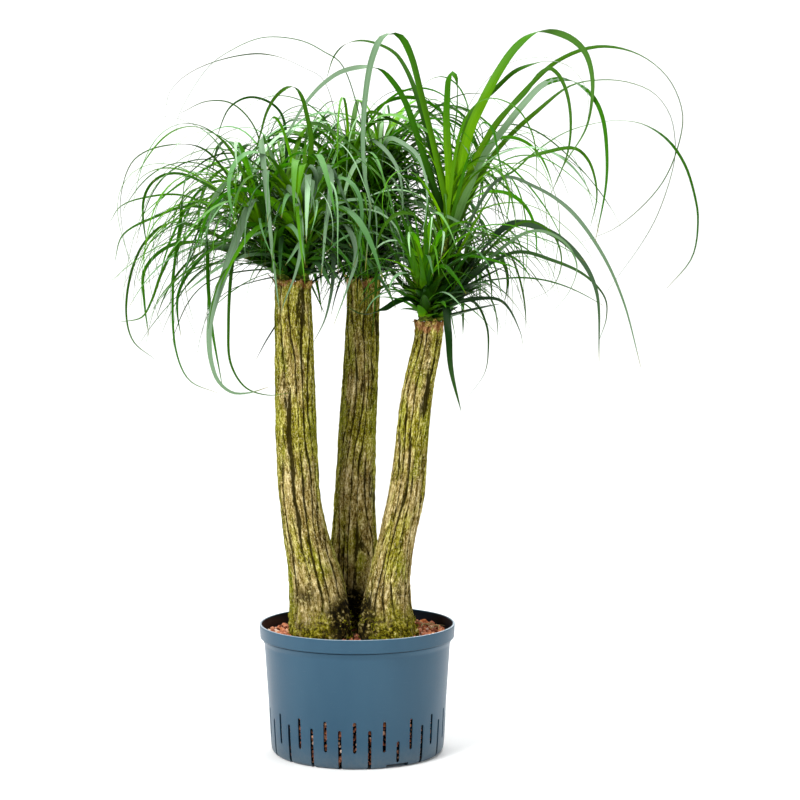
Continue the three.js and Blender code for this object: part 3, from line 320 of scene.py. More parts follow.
# Leaves that make the crown's outline. Each one lists its shoot, where it springs on the shoot
# (0 foot, 1 tip), width, depth of its tip, how far its upper face turns away from the front at root
# and tip in degrees and where between them it turns over, how young it is, and the points that it
# passes, as x and height in the upright plane through the pot's axis.
OUTLINE_LEAVES = [
    ("right_b", 0.9, 13, -150, (172, 12, 0.43), 1.0,
     [(91, 950), (78, 997), (64, 1022), (50, 1028), (35, 1021), (22, 993), (13, 945), (9, 880),
      (12, 824), (19, 788), (16, 740), (12, 690)]),
    ("right_b", 0.85, 10, 30, (15, 150, 0.86), 0.3,
     [(86, 940), (71, 977), (55, 1000), (31, 1013), (5, 1018), (-17, 1012), (-32, 996),
      (-43, 964)]),
    ("right_b", 0.75, 11, -60, (168, 12, 0.52), 0.3,
     [(89, 876), (68, 934), (53, 958), (35, 976), (16, 981), (-20, 975), (-50, 955), (-76, 925),
      (-96, 890), (-116, 857), (-135, 822)]),
    ("left_b", 0.9, 9, -110, (170, 12, 0.6), 0.6,
     [(-65, 876), (-71, 912), (-79, 940), (-89, 952), (-100, 951), (-115, 939), (-128, 917),
      (-136, 890), (-144, 861), (-149, 842)]),
    ("left_b", 0.7, 11, -210, (150, 10, 0.36), 0.7,
     [(-134, 882), (-128, 799), (-119, 701), (-110, 624)]),
    ("left_b", 0.5, 15, -230, (160, 10, 0.2), 0.35,
     [(-128, 772), (-141, 795), (-153, 783), (-164, 758), (-186, 696), (-209, 626), (-212, 594),
      (-209, 561), (-199, 533), (-180, 517), (-157, 516), (-126, 525)]),
    ("left_a", 0.8, 11, -170, (20, 150, 0.45), 0.45,
     [(-175, 822), (-208, 784), (-213, 711), (-209, 621), (-193, 523)]),
    ("left_a", 0.6, 7, -150, (150, 165, 0.4), 0.4,
     [(-158, 782), (-177, 707), (-184, 615), (-181, 558), (-160, 524), (-128, 513), (-98, 516)]),
    ("left_b", 0.8, 9, -180, (150, 10, 0.3), 0.6,
     [(-74, 825), (-66, 840), (-58, 828), (-58, 806), (-64, 784), (-74, 758)]),
    ("left_b", 0.6, 10, -200, (150, 12, 0.25), 0.6,
     [(-100, 811), (-89, 799), (-82, 773), (-79, 744), (-82, 711), (-91, 678), (-102, 652),
      (-111, 625)]),
    ("left_b", 0.85, 11, -200, (150, 10, 0.3), 0.6,
     [(-46, 838), (-38, 832), (-39, 795), (-44, 758), (-48, 714), (-51, 685)]),
    ("left_b", 0.9, 8, -150, (150, 15, 0.35), 0.6,
     [(-53, 837), (-38, 839), (-27, 819), (-17, 795), (-6, 773), (2, 754)]),
    ("left_b", 0.4, 9, -190, (30, 15, 0.4), 0.5,
     [(-25, 765), (-8, 744), (-1, 710), (-11, 674), (-34, 612)]),
    ("left_b", 0.3, 8, -120, (30, 20, 0.4), 0.35,
     [(-44, 740), (-34, 711), (-35, 674), (-39, 648), (-47, 619), (-63, 588)]),
    ("mid_c", 0.6, 8, -130, (30, 20, 0.4), 0.5,
     [(-7, 771), (13, 742), (27, 692), (26, 650), (22, 599)]),
    ("right_b", 0.95, 13, -130, (172, 15, 0.6), 1.0,
     [(128, 905), (129, 942), (131, 964), (136, 973), (142, 966), (144, 945), (143, 916),
      (139, 887), (134, 846)]),
    ("right_b", 0.9, 16, -110, (170, 35, 0.5), 1.0,
     [(161, 890), (179, 931), (201, 973), (225, 1008), (249, 1028), (272, 1033), (306, 1022),
      (326, 1003), (336, 973), (337, 940), (328, 894), (297, 843), (277, 799)]),
    ("right_b", 0.8, 11, -60, (168, 82, 0.66), 1.0,
     [(161, 909), (178, 933), (196, 949), (225, 975), (251, 986), (273, 990), (293, 987),
      (311, 976), (324, 958), (331, 936), (330, 905)]),
    ("right_b", 0.7, 8, 40, (165, 128, 0.5), 0.6,
     [(189, 883), (247, 955), (291, 993), (346, 1011), (401, 1001), (445, 967), (466, 920),
      (464, 883), (438, 817), (375, 755), (320, 732)]),
    ("right_b", 0.5, 8, 60, (165, 122, 0.35), 0.6,
     [(196, 857), (262, 923), (306, 956), (350, 964), (390, 960), (425, 945), (448, 915),
      (456, 879), (455, 846), (434, 777), (412, 735), (359, 661)]),
    ("right_b", 0.3, 9, -60, (108, 160, 0.62), 0.7,
     [(196, 817), (225, 835), (254, 861), (300, 890), (346, 903), (372, 906), (410, 901),
      (445, 879), (470, 844), (485, 799), (490, 765), (482, 711), (445, 665)]),
    ("right_b", 0.2, 9, -120, (62, 5, 0.55), 0.25,
     [(206, 824), (257, 811), (304, 780), (351, 718), (383, 649), (410, 550)]),
    ("right_c", 0.7, 12, -60, (70, 20, 0.2), 0.12,
     [(220, 758), (276, 747), (317, 714), (344, 664), (349, 560)]),
    ("right_c", 0.5, 7, -40, (30, 20, 0.4), 0.2,
     [(225, 718), (282, 706), (329, 684), (357, 652), (359, 624), (349, 592)]),
    ("right_b", 0.85, 9, -160, (165, 140, 0.7), 0.9,
     [(196, 898), (240, 945), (262, 973), (275, 980), (286, 973), (297, 954), (304, 927),
      (306, 894), (302, 861), (293, 835), (277, 799)]),
    ("right_b", 0.6, 12, -120, (12, 160, 0.55), 0.8,
     [(181, 854), (210, 894), (240, 931), (265, 956), (284, 964), (302, 964), (320, 956),
      (339, 938), (352, 909), (358, 861), (357, 813), (342, 732)]),
    ("right_b", 0.25, 10, -110, (105, 165, 0.55), 0.8,
     [(226, 842), (275, 862), (313, 866), (331, 850), (341, 824), (344, 795), (335, 755)]),
    ("right_b", 0.6, 6, -150, (165, 110, 0.5), 0.7,
     [(148, 890), (166, 925), (188, 937), (210, 934), (232, 920), (251, 887), (257, 854),
      (257, 821)]),
    ("right_b", 0.6, 6, -140, (160, 115, 0.4), 0.5,
     [(180, 903), (192, 897), (203, 854), (210, 815), (211, 786)]),
    ("right_b", 0.8, 3, 60, (130, 110, 0.4), 0.5,
     [(150, 900), (165, 935), (190, 967), (218, 987), (255, 995), (281, 993), (312, 978)]),
    ("mid_b", 0.7, 2.4, 20, (30, 40, 0.4), 0.3,
     [(-21, 984), (-46, 1002), (-76, 1017), (-116, 1023), (-142, 1020), (-178, 1004), (-208, 983),
      (-241, 936), (-255, 905), (-256, 868)]),
    ("mid_a", 0.8, 3.4, 60, (95, 30, 0.55), 0.4,
     [(-47, 962), (-76, 980), (-105, 993), (-135, 999), (-164, 997), (-201, 988), (-230, 976),
      (-252, 961), (-267, 942), (-273, 908)]),
    ("left_a", 0.9, 4, -20, (60, 150, 0.4), 0.6,
     [(-141, 884), (-176, 928), (-213, 932), (-251, 915)]),
    ("left_c", 0.9, 6, 40, (160, 160, 0.4), 0.2,
     [(-109, 917), (-149, 938), (-180, 924), (-202, 874)]),
    ("left_a", 0.5, 4, -60, (150, 60, 0.4), 0.3,
     [(-216, 863), (-273, 869), (-317, 849), (-336, 799), (-334, 747), (-312, 650)]),
    ("left_a", 0.7, 4, 60, (120, 40, 0.4), 0.5, [(-202, 877), (-244, 904), (-280, 912)]),
    ("left_a", 0.3, 6, -30, (50, 150, 0.4), 0.5,
     [(-238, 796), (-305, 795), (-338, 782), (-352, 761)]),
    ("left_a", 0.2, 8, 40, (40, 150, 0.4), 0.4,
     [(-224, 782), (-295, 765), (-335, 741), (-346, 704)]),
    ("left_a", 0.3, 8, -120, (40, 150, 0.4), 0.45,
     [(-235, 832), (-253, 750), (-263, 670), (-259, 575), (-240, 534), (-200, 516)]),
    ("left_a", 0.35, 10, -90, (30, 150, 0.4), 0.5,
     [(-204, 722), (-236, 694), (-255, 660), (-257, 630), (-252, 597)]),
    ("left_a", 0.4, 10, -20, (30, 150, 0.4), 0.5,
     [(-241, 733), (-280, 719), (-304, 690), (-304, 645), (-298, 597)]),
    ("left_a", 0.25, 8, 10, (40, 140, 0.4), 0.4,
     [(-262, 760), (-300, 735), (-322, 690), (-330, 627), (-320, 590), (-290, 565)]),
    ("left_a", 0.2, 9, -70, (30, 150, 0.4), 0.5,
     [(-250, 730), (-278, 690), (-294, 648), (-308, 625), (-340, 618)]),
    ("left_c", 0.1, 4, 30, (150, 160, 0.4), 0.1,
     [(-92, 658), (-104, 636), (-116, 614), (-131, 590), (-145, 564)]),
    ("right_a", 0.2, 14, -160, (20, 10, 0.4), 0.12,
     [(124, 652), (131, 606), (135, 552), (150, 489)]),
    ("right_a", 0.25, 11, -150, (20, 80, 0.55), 0.1,
     [(80, 649), (67, 650), (53, 645), (38, 636), (9, 629), (-16, 641)]),
    ("right_a", 0.5, 10, -170, (165, 160, 0.4), 0.9,
     [(108, 690), (123, 699), (140, 684), (157, 658)]),
    ("right_a", 0.3, 5, -100, (30, 50, 0.4), 0.25,
     [(166, 648), (186, 615), (189, 578), (184, 545), (160, 510)]),
    ("right_a", 0.6, 9, -90, (170, 150, 0.4), 1.0, [(89, 704), (75, 747), (57, 784)]),
    ("right_a", 0.7, 9, -70, (165, 150, 0.4), 1.0, [(97, 730), (99, 765), (104, 798)]),
    ("right_a", 0.5, 9, -110, (165, 150, 0.4), 1.0, [(84, 690), (66, 726), (45, 752)]),
    ("right_a", 0.6, 8, -60, (165, 150, 0.4), 0.9, [(110, 705), (120, 738), (129, 764)]),
    ("mid_b", 0.6, 7, -150, (150, 20, 0.3), 0.6,
     [(31, 799), (57, 797), (82, 790), (108, 777), (137, 766), (159, 751), (172, 733), (169, 703)]),
    ("mid_b", 0.7, 8, -100, (150, 15, 0.3), 0.6,
     [(45, 879), (68, 872), (88, 854), (98, 828), (101, 799), (98, 766), (90, 733)]),
    ("mid_b", 0.9, 6, -60, (150, 15, 0.3), 0.6,
     [(16, 916), (53, 905), (86, 887), (108, 861), (134, 839), (155, 813)]),
    ("left_b", 0.95, 8, -60, (150, 20, 0.4), 0.7, [(-64, 900), (-25, 883), (8, 853), (33, 814)]),
    ("mid_a", 0.9, 8, -90, (150, 20, 0.4), 0.6,
     [(-10, 887), (26, 876), (56, 842), (66, 792), (59, 742)]),
    ("right_c", 0.3, 6, -80, (20, 20, 0.4), 0.2, [(206, 649), (234, 606), (239, 585)]),
    ("right_c", 0.6, 5, -80, (40, 30, 0.4), 0.35,
     [(240, 762), (280, 745), (294, 705), (280, 667), (243, 648)]),
    ("right_c", 0.55, 6, -120, (30, 20, 0.4), 0.35,
     [(250, 748), (295, 735), (316, 700), (306, 663), (283, 634)]),
]

# A fan of upright young leaves on the lower right shoot: x and height of each tip, width, depth of
# its tip and how young it is. Each leaf rises from the foot of the fan through two bends.
FAN_SHOOT = "right_a"
FAN_START = 0.1
FAN_SPACING = 0.03
FAN_TWIST = (165, 150, 0.4)
FAN_FOOT = (99, 630)
FAN_BENDS = ((0.36, 0.42), (0.68, 0.76), (1, 1))
FAN_TIPS = [
    (42, 791, 10, -96, 0.7), (61, 778, 11, -70, 0.8), (82, 780, 10, -110, 0.9),
    (100, 757, 12, -120, 1.0), (128, 768, 11, -84, 0.85), (150, 750, 10, -100, 0.7),
    (171, 724, 9, -64, 0.5), (27, 750, 9, -90, 0.6), (14, 722, 9, -60, 0.4),
    (70, 742, 12, -128, 1.0), (113, 740, 11, -132, 1.0), (90, 716, 13, -140, 1.0),
]

# Stage and lights, in metres and watts. Each light lists its name, place, target, size and power.
FLOOR_FRONT = -6.0
FLOOR_DEPTH = 4.0
FLOOR_HALF_WIDTH = 7.0
BACKDROP_HEIGHT = 4.5
SWEEP = 1.2
SWEEP_STEPS = 12
CROWN_MIDDLE = (0.05, 0, 0.75)
LIGHTS = [
    ("key", (-1.7, -1.9, 2.3), CROWN_MIDDLE, 1.3, 128),
    ("fill", (2.1, -1.7, 1.2), CROWN_MIDDLE, 1.8, 30),
    ("top", (0.1, 0.2, 2.7), CROWN_MIDDLE, 1.4, 50),
    ("rim", (0.8, 1.9, 1.8), CROWN_MIDDLE, 1.2, 26),
    ("backdrop", (0, 1.7, 3.6), (0, 4.0, 1.0), 1.6, 75),
]
WORLD_COLOUR = (0.97, 0.98, 1.0, 1)
WORLD_STRENGTH = 0.23

# Large odd numbers that scramble the draws and the noise, and the size they are kept to
DRAW_KEYS = (374761393, 668265263, 2246822519, 3266489917)
NOISE_KEYS = (374761393, 668265263, 1442695041, 1274126177)
WORD = 0xFFFFFFFF


def draw(seed, index, turn):
    """A repeatable draw from 0 to 1."""
    seed_key, index_key, turn_key, last_key = DRAW_KEYS
    bits = ((seed + 1) * seed_key ^ (index + 1) * index_key ^ (turn + 1) * turn_key) & WORD
    bits = (bits ^ bits >> 15) * turn_key & WORD
    bits = (bits ^ bits >> 13) * last_key & WORD
    return (bits ^ bits >> 16) / (WORD + 1)


def lerp(low, high, share):
    return low + (high - low) * share


def smoothstep(value, low, high):
    share = np.clip((value - low) / (high - low), 0, 1)
    return share * share * (3 - 2 * share)


def value_noise(points, seed):
    """Smooth noise from -1 to 1 at an array of points."""
    x_key, y_key, z_key, seed_key = NOISE_KEYS
    cell = np.floor(points).astype(np.int64)
    part = points - cell
    part = part * part * (3 - 2 * part)
    total = np.zeros(len(points))
    for corner in range(8):
        offset = np.array([corner & 1, corner >> 1 & 1, corner >> 2 & 1])
        weight = np.prod(np.where(offset == 1, part, 1 - part), axis=1)
        x, y, z = (cell + offset).T
        bits = (x * x_key + y * y_key + z * z_key + seed * seed_key) & WORD
        bits = (bits ^ bits >> 13) * seed_key & WORD
        total += weight * (((bits ^ bits >> 16) & 0xFFFF) / 32767.5 - 1)
    return total


# Pieces


def add_piece(name, points, faces, material, replaced, smooth=True):
    """Makes a mesh object from points in millimetres, and ties it to the frame."""
    mesh = bpy.data.meshes.new(name)
    mesh.from_pydata((np.asarray(points) * MM).tolist(), [], faces)
    mesh.polygons.foreach_set("use_smooth", [smooth] * len(mesh.polygons))
    mesh.materials.append(material)
    mesh.update()
    piece = bpy.data.objects.new(name, mesh)
    bpy.context.scene.collection.objects.link(piece)
    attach(piece, "root")
    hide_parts(*replaced)
    return piece


def add_values(piece, name, values, domain="POINT"):
    """Stores a number for each point or face, for the material to read."""
    attribute = piece.data.attributes.new(name, "FLOAT", domain)
    attribute.data.foreach_set("value", np.asarray(values, dtype=np.float32))


def add_vectors(piece, name, values):
    attribute = piece.data.attributes.new(name, "FLOAT_VECTOR", "POINT")
    attribute.data.foreach_set("vector", np.asarray(values, dtype=np.float32).ravel())


def ring_faces(rings, sides):
    """Quads over rings that run anticlockwise as seen from the last one's side, and both ends."""
    ring = np.arange(rings - 1)[:, None] * sides
    side = np.arange(sides)[None, :]
    after = (side + 1) % sides
    quads = np.stack([ring + side, ring + after, ring + sides + after, ring + sides + side], axis=-1)
    faces = quads.reshape(-1, 4).tolist()
    faces.append(list(range(sides))[::-1])
    faces.append(list(range((rings - 1) * sides, rings * sides)))
    return faces


def slab_faces(base, rows, columns):
    """Faces of a closed slab whose outer grid of points is followed by its inner one."""
    grid = rows * columns
    faces = []
    for row in range(rows - 1):
        for column in range(columns - 1):
            here = base + row * columns + column
            quad = [here, here + 1, here + columns + 1, here + columns]
            faces.append(quad)
            faces.append([corner + grid for corner in quad[::-1]])
    border = [base + column for column in range(columns)]
    border += [base + row * columns + columns - 1 for row in range(1, rows)]
    border += [base + (rows - 1) * columns + column for column in range(columns - 2, -1, -1)]
    border += [base + row * columns for row in range(rows - 2, 0, -1)]
    for first, second in zip(border, border[1:] + border[:1]):
        faces.append([second, first, first + grid, second + grid])
    return faces


# Materials


def srgb(red, green, blue):
    """A colour as it looks on a screen, 0 to 255, in the linear values of a shader."""

    def linear(value):
        share = value / 255
        return share / 12.92 if share <= 0.04045 else ((share + 0.055) / 1.055) ** 2.4

    return (linear(red), linear(green), linear(blue), 1.0)


class Paint:
    """A material under construction, with its main shader and short ways to add nodes."""

    def __init__(self, name, **settings):
        self.material = bpy.data.materials.new(name)
        self.material.use_nodes = True
        self.tree = self.material.node_tree
        self.shader = self.tree.nodes["Principled BSDF"]
        for socket, value in settings.items():
            self.shader.inputs[socket.replace("_", " ")].default_value = value

    def add(self, kind, inputs=None, **settings):
        node = self.tree.nodes.new(kind)
        for name, value in settings.items():
            setattr(node, name, value)
        for socket, value in (inputs or {}).items():
            self.feed(node.inputs[socket], value)
        return node

    def feed(self, socket, value):
        if isinstance(value, bpy.types.NodeSocket):
            self.tree.links.new(value, socket)
        else:
            socket.default_value = value

    def number(self, name):
        return self.add("ShaderNodeAttribute", attribute_name=name).outputs["Fac"]

    def vector(self, name):
        return self.add("ShaderNodeAttribute", attribute_name=name).outputs["Vector"]

    def place(self):
        return self.add("ShaderNodeTexCoord").outputs["Object"]

    def height(self, vector):
        return self.add("ShaderNodeSeparateXYZ", {"Vector": vector}).outputs["Z"]

    def noise(self, vector, scale, detail=4.0, roughness=0.55):
        inputs = {"Vector": vector, "Scale": scale, "Detail": detail, "Roughness": roughness}
        return self.add("ShaderNodeTexNoise", inputs).outputs["Fac"]

    def grain(self, vector, scales, detail=4.0, roughness=0.55):
        """Noise with a fineness of its own along each axis."""
        stretched = self.add("ShaderNodeMapping", {"Vector": vector, "Scale": scales})
        return self.noise(stretched.outputs["Vector"], 1.0, detail, roughness)

    def cells(self, vector, scale):
        inputs = {"Vector": vector, "Scale": scale}
        return self.add("ShaderNodeTexVoronoi", inputs).outputs["Distance"]

    def ramp(self, value, *stops):
        """A colour ramp. Each stop is a place from 0 to 1, then red, green and blue to 255."""
        node = self.add("ShaderNodeValToRGB", {"Fac": value})
        elements = node.color_ramp.elements
        while len(elements) < len(stops):
            elements.new(0.5)
        for element, (place, *screen) in zip(elements, stops):
            element.position = place
            element.color = srgb(*screen)
        return node.outputs["Color"]

    def between(self, value, low, high, start=0.0, end=1.0):
        """A smooth step of a number between two limits."""
        inputs = {"Value": value, "From Min": low, "From Max": high, "To Min": start, "To Max": end}
        step = self.add("ShaderNodeMapRange", inputs, interpolation_type="SMOOTHSTEP")
        return step.outputs["Result"]

    def sum(self, first, second, operation="ADD"):
        node = self.add("ShaderNodeMath", operation=operation)
        self.feed(node.inputs[0], first)
        self.feed(node.inputs[1], second)
        return node.outputs["Value"]

    def times(self, first, second):
        return self.sum(first, second, "MULTIPLY")

    def mix(self, share, first, second):
        node = self.add("ShaderNodeMix", data_type="RGBA")
        self.feed(node.inputs["Factor"], share)
        self.feed(node.inputs[6], first)
        self.feed(node.inputs[7], second)
        return node.outputs[2]

    def shift(self, colour, hue=0.5, saturation=1.0, value=1.0):
        inputs = {"Color": colour, "Hue": hue, "Saturation": saturation, "Value": value}
        return self.add("ShaderNodeHueSaturation", inputs).outputs["Color"]

    def bump(self, height, distance, strength=1.0):
        inputs = {"Height": height, "Distance": distance, "Strength": strength}
        node = self.add("ShaderNodeBump", inputs)
        self.tree.links.new(node.outputs["Normal"], self.shader.inputs["Normal"])

    def colour(self, value):
        self.feed(self.shader.inputs["Base Color"], value)

    def roughness(self, value):
        self.feed(self.shader.inputs["Roughness"], value)


def pot_plastic():
    """Slate-blue plastic with fine scuffs, a little dust near the floor, a painted highlight along the
    rim's top edge, and painted shade on the inner wall and in the crease under the rim band.
    """
    paint = Paint("pot_plastic", Specular_IOR_Level=0.22)
    place = paint.place()
    slate = paint.ramp(paint.grain(place, (9, 9, 4), 3.0), (0.3, 37, 70, 91), (0.7, 48, 80, 100))
    scuffs = paint.grain(place, (60, 60, 500), 6.0, 0.7)
    scuffed = paint.mix(paint.between(scuffs, 0.62, 0.8, 0, 0.25), slate, srgb(112, 134, 150))
    near_floor = paint.between(paint.height(place), 0.04, 0.0, 0, 0.5)
    dust = paint.times(near_floor, paint.noise(place, 220, 5.0))
    dusted = paint.mix(dust, scuffed, srgb(110, 112, 108))
    # A painted highlight along the rim's top edge
    lip_highlighted = paint.mix(paint.number("lip_highlight"), dusted, srgb(150, 168, 180))
    # Painted shade on the inner wall above the granules and in the crease under the rim band
    paint.colour(paint.mix(paint.number("painted_shade"), lip_highlighted, srgb(8, 22, 32)))
    pebbling = paint.noise(place, 1500, 3.0)
    paint.roughness(paint.between(pebbling, 0.3, 0.7, 0.3, 0.42))
    paint.bump(paint.sum(pebbling, paint.times(scuffs, 0.6)), 0.00012, 0.5)
    return paint.material


def fired_clay():
    """Reddish-brown fired clay, gritty and full of pores with painted shade in them, with a tone of its
    own on each granule.
    """
    paint = Paint("fired_clay", Specular_IOR_Level=0.1)
    place = paint.place()
    clay = paint.ramp(
        paint.number("tone"), (0.0, 92, 46, 30), (0.25, 180, 108, 78), (0.5, 210, 142, 110),
        (0.75, 196, 120, 74), (0.92, 226, 174, 142), (1.0, 242, 216, 194),
    )
    grit = paint.noise(place, 900, 6.0, 0.7)
    pores = paint.cells(place, 620)
    speckled = paint.mix(paint.between(grit, 0.45, 0.72, 0, 0.5), clay, srgb(128, 66, 38))
    # Painted shade in the pores
    pore_shaded = paint.mix(paint.between(pores, 0.1, 0.3, 0.6, 0), speckled, srgb(48, 24, 14))
    paint.colour(paint.mix(paint.between(grit, 0.4, 0.28, 0, 0.5), pore_shaded, srgb(240, 200, 170)))
    paint.roughness(0.95)
    paint.bump(paint.sum(grit, pores), 0.0011, 0.8)
    return paint.material


# Painted shade for the gaps between the granules
def gap_shade_bed():
    paint = Paint("gap_shade_bed", Specular_IOR_Level=0.05)
    grit = paint.noise(paint.place(), 300, 5.0, 0.7)
    paint.colour(paint.ramp(grit, (0.35, 14, 9, 6), (0.7, 54, 32, 20)))
    paint.roughness(1.0)
    paint.bump(grit, 0.002, 1.0)
    return paint.material


def trunk_bark():
    """Olive bark with pale ridges, painted shade in its furrows and green painted bounce light on its
    left and right sides, moss at its foot, a dark lumpy coat with painted shade where the feet meet,
    and torn cork at its top.
    """
    paint = Paint("trunk_bark", Specular_IOR_Level=0.06)
    place = paint.vector("bark_place")
    streaks = paint.grain(place, (520, 520, 150), 8.0, 0.8)
    plates = paint.grain(place, (170, 170, 34), 8.0, 0.8)
    patches = paint.grain(place, (26, 26, 9), 3.0)
    algae = paint.grain(place, (38, 38, 12), 5.0, 0.6)
    checks = paint.grain(place, (120, 120, 620), 4.0, 0.6)
    mixed = paint.sum(paint.times(streaks, 0.5), paint.times(plates, 0.5))
    olive = paint.ramp(
        mixed, (0.41, 40, 32, 0), (0.46, 86, 78, 4), (0.5, 126, 119, 30), (0.54, 164, 157, 62),
        (0.59, 230, 222, 140),
    )
    tan = paint.ramp(
        mixed, (0.41, 48, 36, 8), (0.46, 98, 80, 32), (0.5, 144, 125, 68), (0.54, 186, 168, 112),
        (0.59, 236, 222, 176),
    )
    green = paint.ramp(mixed, (0.42, 56, 60, 0), (0.5, 112, 116, 12), (0.6, 176, 176, 60))
    lower = paint.between(paint.height(place), 0.62, 0.3, -0.06, 0.1)
    base = paint.mix(paint.between(paint.sum(patches, lower), 0.49, 0.61), olive, tan)
    greened = paint.mix(paint.between(algae, 0.52, 0.68, 0, 0.75), base, green)
    # Green painted bounce light on the trunk's left and right sides, broken up by the algae noise
    side_bounce_and_algae = paint.between(paint.sum(paint.number("edge"), algae), 0.95, 1.4, 0, 0.8)
    bounce_greened = paint.mix(side_bounce_and_algae, greened, green)
    specks = paint.between(paint.grain(place, (620, 620, 300), 3.0, 0.6), 0.58, 0.66, 0, 0.7)
    speckled = paint.mix(specks, bounce_greened, srgb(226, 214, 156))
    checked = paint.shift(speckled, value=paint.between(checks, 0.35, 0.65, 0.84, 1.14))
    # Painted shade in the furrows, with the streaks' noise mixed in
    broken = paint.sum(paint.number("furrow_shade"), paint.between(streaks, 0.36, 0.62, 0.2, -0.16))
    furrow_shaded = paint.mix(paint.between(broken, 0.06, 0.52, 0, 0.94), checked, srgb(34, 27, 0))
    moss = paint.ramp(
        paint.noise(place, 150, 8.0, 0.8), (0.38, 12, 9, 0), (0.47, 58, 54, 6),
        (0.53, 128, 122, 22), (0.58, 176, 170, 54), (0.64, 236, 228, 168),
    )
    mossy = paint.times(paint.number("ground"), paint.between(algae, 0.3, 0.46))
    footed = paint.mix(mossy, furrow_shaded, moss)
    lumps = paint.noise(place, 130, 6.0, 0.7)
    # A dark lumpy coat on the trunks' feet where they meet, and painted shade between them
    crust_and_shade = paint.ramp(
        lumps, (0.42, 10, 8, 3), (0.52, 42, 35, 12), (0.58, 104, 92, 40), (0.64, 190, 178, 124)
    )
    crust_and_shade_mask = paint.between(paint.sum(paint.number("crust_and_shade"), lumps), 0.72, 1.2)
    crust_and_shaded = paint.mix(crust_and_shade_mask, footed, crust_and_shade)
    cork = paint.ramp(
        paint.sum(paint.times(plates, 0.7), paint.times(streaks, 0.3)), (0.4, 48, 28, 8),
        (0.47, 104, 68, 32), (0.53, 158, 112, 68), (0.6, 222, 186, 140),
    )
    torn = paint.between(paint.sum(paint.number("crown"), paint.times(plates, 1.2)), 1.0, 1.35)
    paint.colour(paint.mix(torn, crust_and_shaded, cork))
    paint.roughness(0.95)
    fine = paint.grain(place, (800, 800, 300), 6.0, 0.7)
    paint.bump(paint.sum(paint.sum(streaks, plates), paint.times(fine, 0.4)), 0.0014, 0.9)
    return paint.material


def leaf_green():
    """Bright green below and at the base, bluish green with a painted sheen above."""
    paint = Paint("leaf_green", Specular_IOR_Level=0.08)
    along = paint.number("along")
    tone = paint.number("tone")
    young = paint.number("young")
    shade = paint.number("shade")
    root = paint.times(paint.between(along, 0.5, 0.0), young)
    below = paint.mix(root, srgb(52, 120, 0), srgb(112, 178, 4))
    # A pale bluish painted sheen on the upper faces of some leaves, standing for the sky's reflection
    painted_sheen = paint.mix(paint.between(tone, 0.3, 0.72), srgb(58, 116, 14), srgb(142, 172, 138))
    above = paint.mix(root, painted_sheen, srgb(98, 158, 26))
    sides = paint.mix(paint.number("upper"), below, above)
    old = paint.mix(paint.between(young, 0.45, 0.0, 0, 0.85), sides, srgb(10, 50, 4))
    far = paint.mix(paint.between(along, 0.45, 0.95, 0, 0.35), old, srgb(48, 96, 16))
    hue = paint.between(tone, 0.0, 1.0, 0.486, 0.501)
    shade_plus_outline = paint.sum(shade, paint.times(paint.number("outline"), 0.5))
    rich = paint.between(shade_plus_outline, 0.45, 1.3, 1.7, 1.0)
    shaded = paint.shift(far, hue=hue, saturation=rich, value=shade)
    # Painted shade deep in the crown, near the shoots' stems
    deep = paint.between(paint.number("deep"), 0.08, 0.6, 0, 0.88)
    crown_shaded = paint.mix(deep, shaded, srgb(3, 34, 0))
    dry = paint.times(paint.between(along, 0.93, 1.0), paint.between(tone, 0.6, 0.7))
    tipped = paint.mix(dry, crown_shaded, srgb(116, 104, 44))
    inputs = {"X": paint.number("across"), "Y": along, "Z": tone}
    place = paint.add("ShaderNodeCombineXYZ", inputs).outputs["Vector"]
    veins = paint.grain(place, (11, 1.2, 40), 2.0)
    paint.colour(paint.shift(tipped, value=paint.between(veins, 0.3, 0.7, 0.84, 1.16)))
    paint.roughness(paint.between(veins, 0.3, 0.7, 0.4, 0.55))
    paint.bump(veins, 0.0004, 0.6)
    return paint.material


def shoot_skin():
    """The scarred, brown and green skin of a shoot's stem."""
    paint = Paint("shoot_skin", Specular_IOR_Level=0.15)
    scars = paint.grain(paint.place(), (160, 160, 300), 4.0)
    paint.colour(paint.ramp(
        scars, (0.3, 40, 30, 6), (0.48, 62, 76, 10), (0.6, 100, 120, 24), (0.75, 168, 150, 80)
    ))
    paint.roughness(0.8)
    paint.bump(scars, 0.0012, 0.8)
    return paint.material


def moss_green():
    paint = Paint("moss_green", Specular_IOR_Level=0.1)
    speck = paint.noise(paint.place(), 500, 3.0)
    moss = paint.ramp(
        paint.number("tone"), (0.0, 40, 44, 4), (0.3, 104, 108, 10), (0.65, 172, 170, 30),
        (0.9, 206, 198, 70), (1.0, 240, 232, 180),
    )
    paint.colour(paint.shift(moss, value=paint.between(speck, 0.3, 0.7, 0.6, 1.25)))
    paint.roughness(0.95)
    paint.bump(speck, 0.0004, 0.6)
    return paint.material


def dry_twig():
    paint = Paint("dry_twig", Specular_IOR_Level=0.2)
    streaks = paint.grain(paint.place(), (300, 300, 60), 4.0)
    paint.colour(paint.ramp(streaks, (0.3, 110, 92, 58), (0.6, 178, 160, 112), (0.8, 206, 192, 150)))
    paint.roughness(0.85)
    paint.bump(streaks, 0.0005, 0.7)
    return paint.material


# Pot


def slot_of(sector):
    if sector == SHORT_SLOT_SECTOR:
        return SHORT_SLOT
    return HIGH_SLOT if sector % 2 == 0 else LOW_SLOT


def slot_half_turn(sector, radius, height):
    """Half a slot's width as an angle, rounded off at its ends."""
    low, high = slot_of(sector)
    half = SLOT_WIDTH / 2
    into = min(height - low, high - height)
    if 0 <= into < half and height > 0:
        half = math.sqrt(max(half**2 - (half - into) ** 2, NARROWEST_HALF_SLOT**2))
    return math.degrees(half / radius)


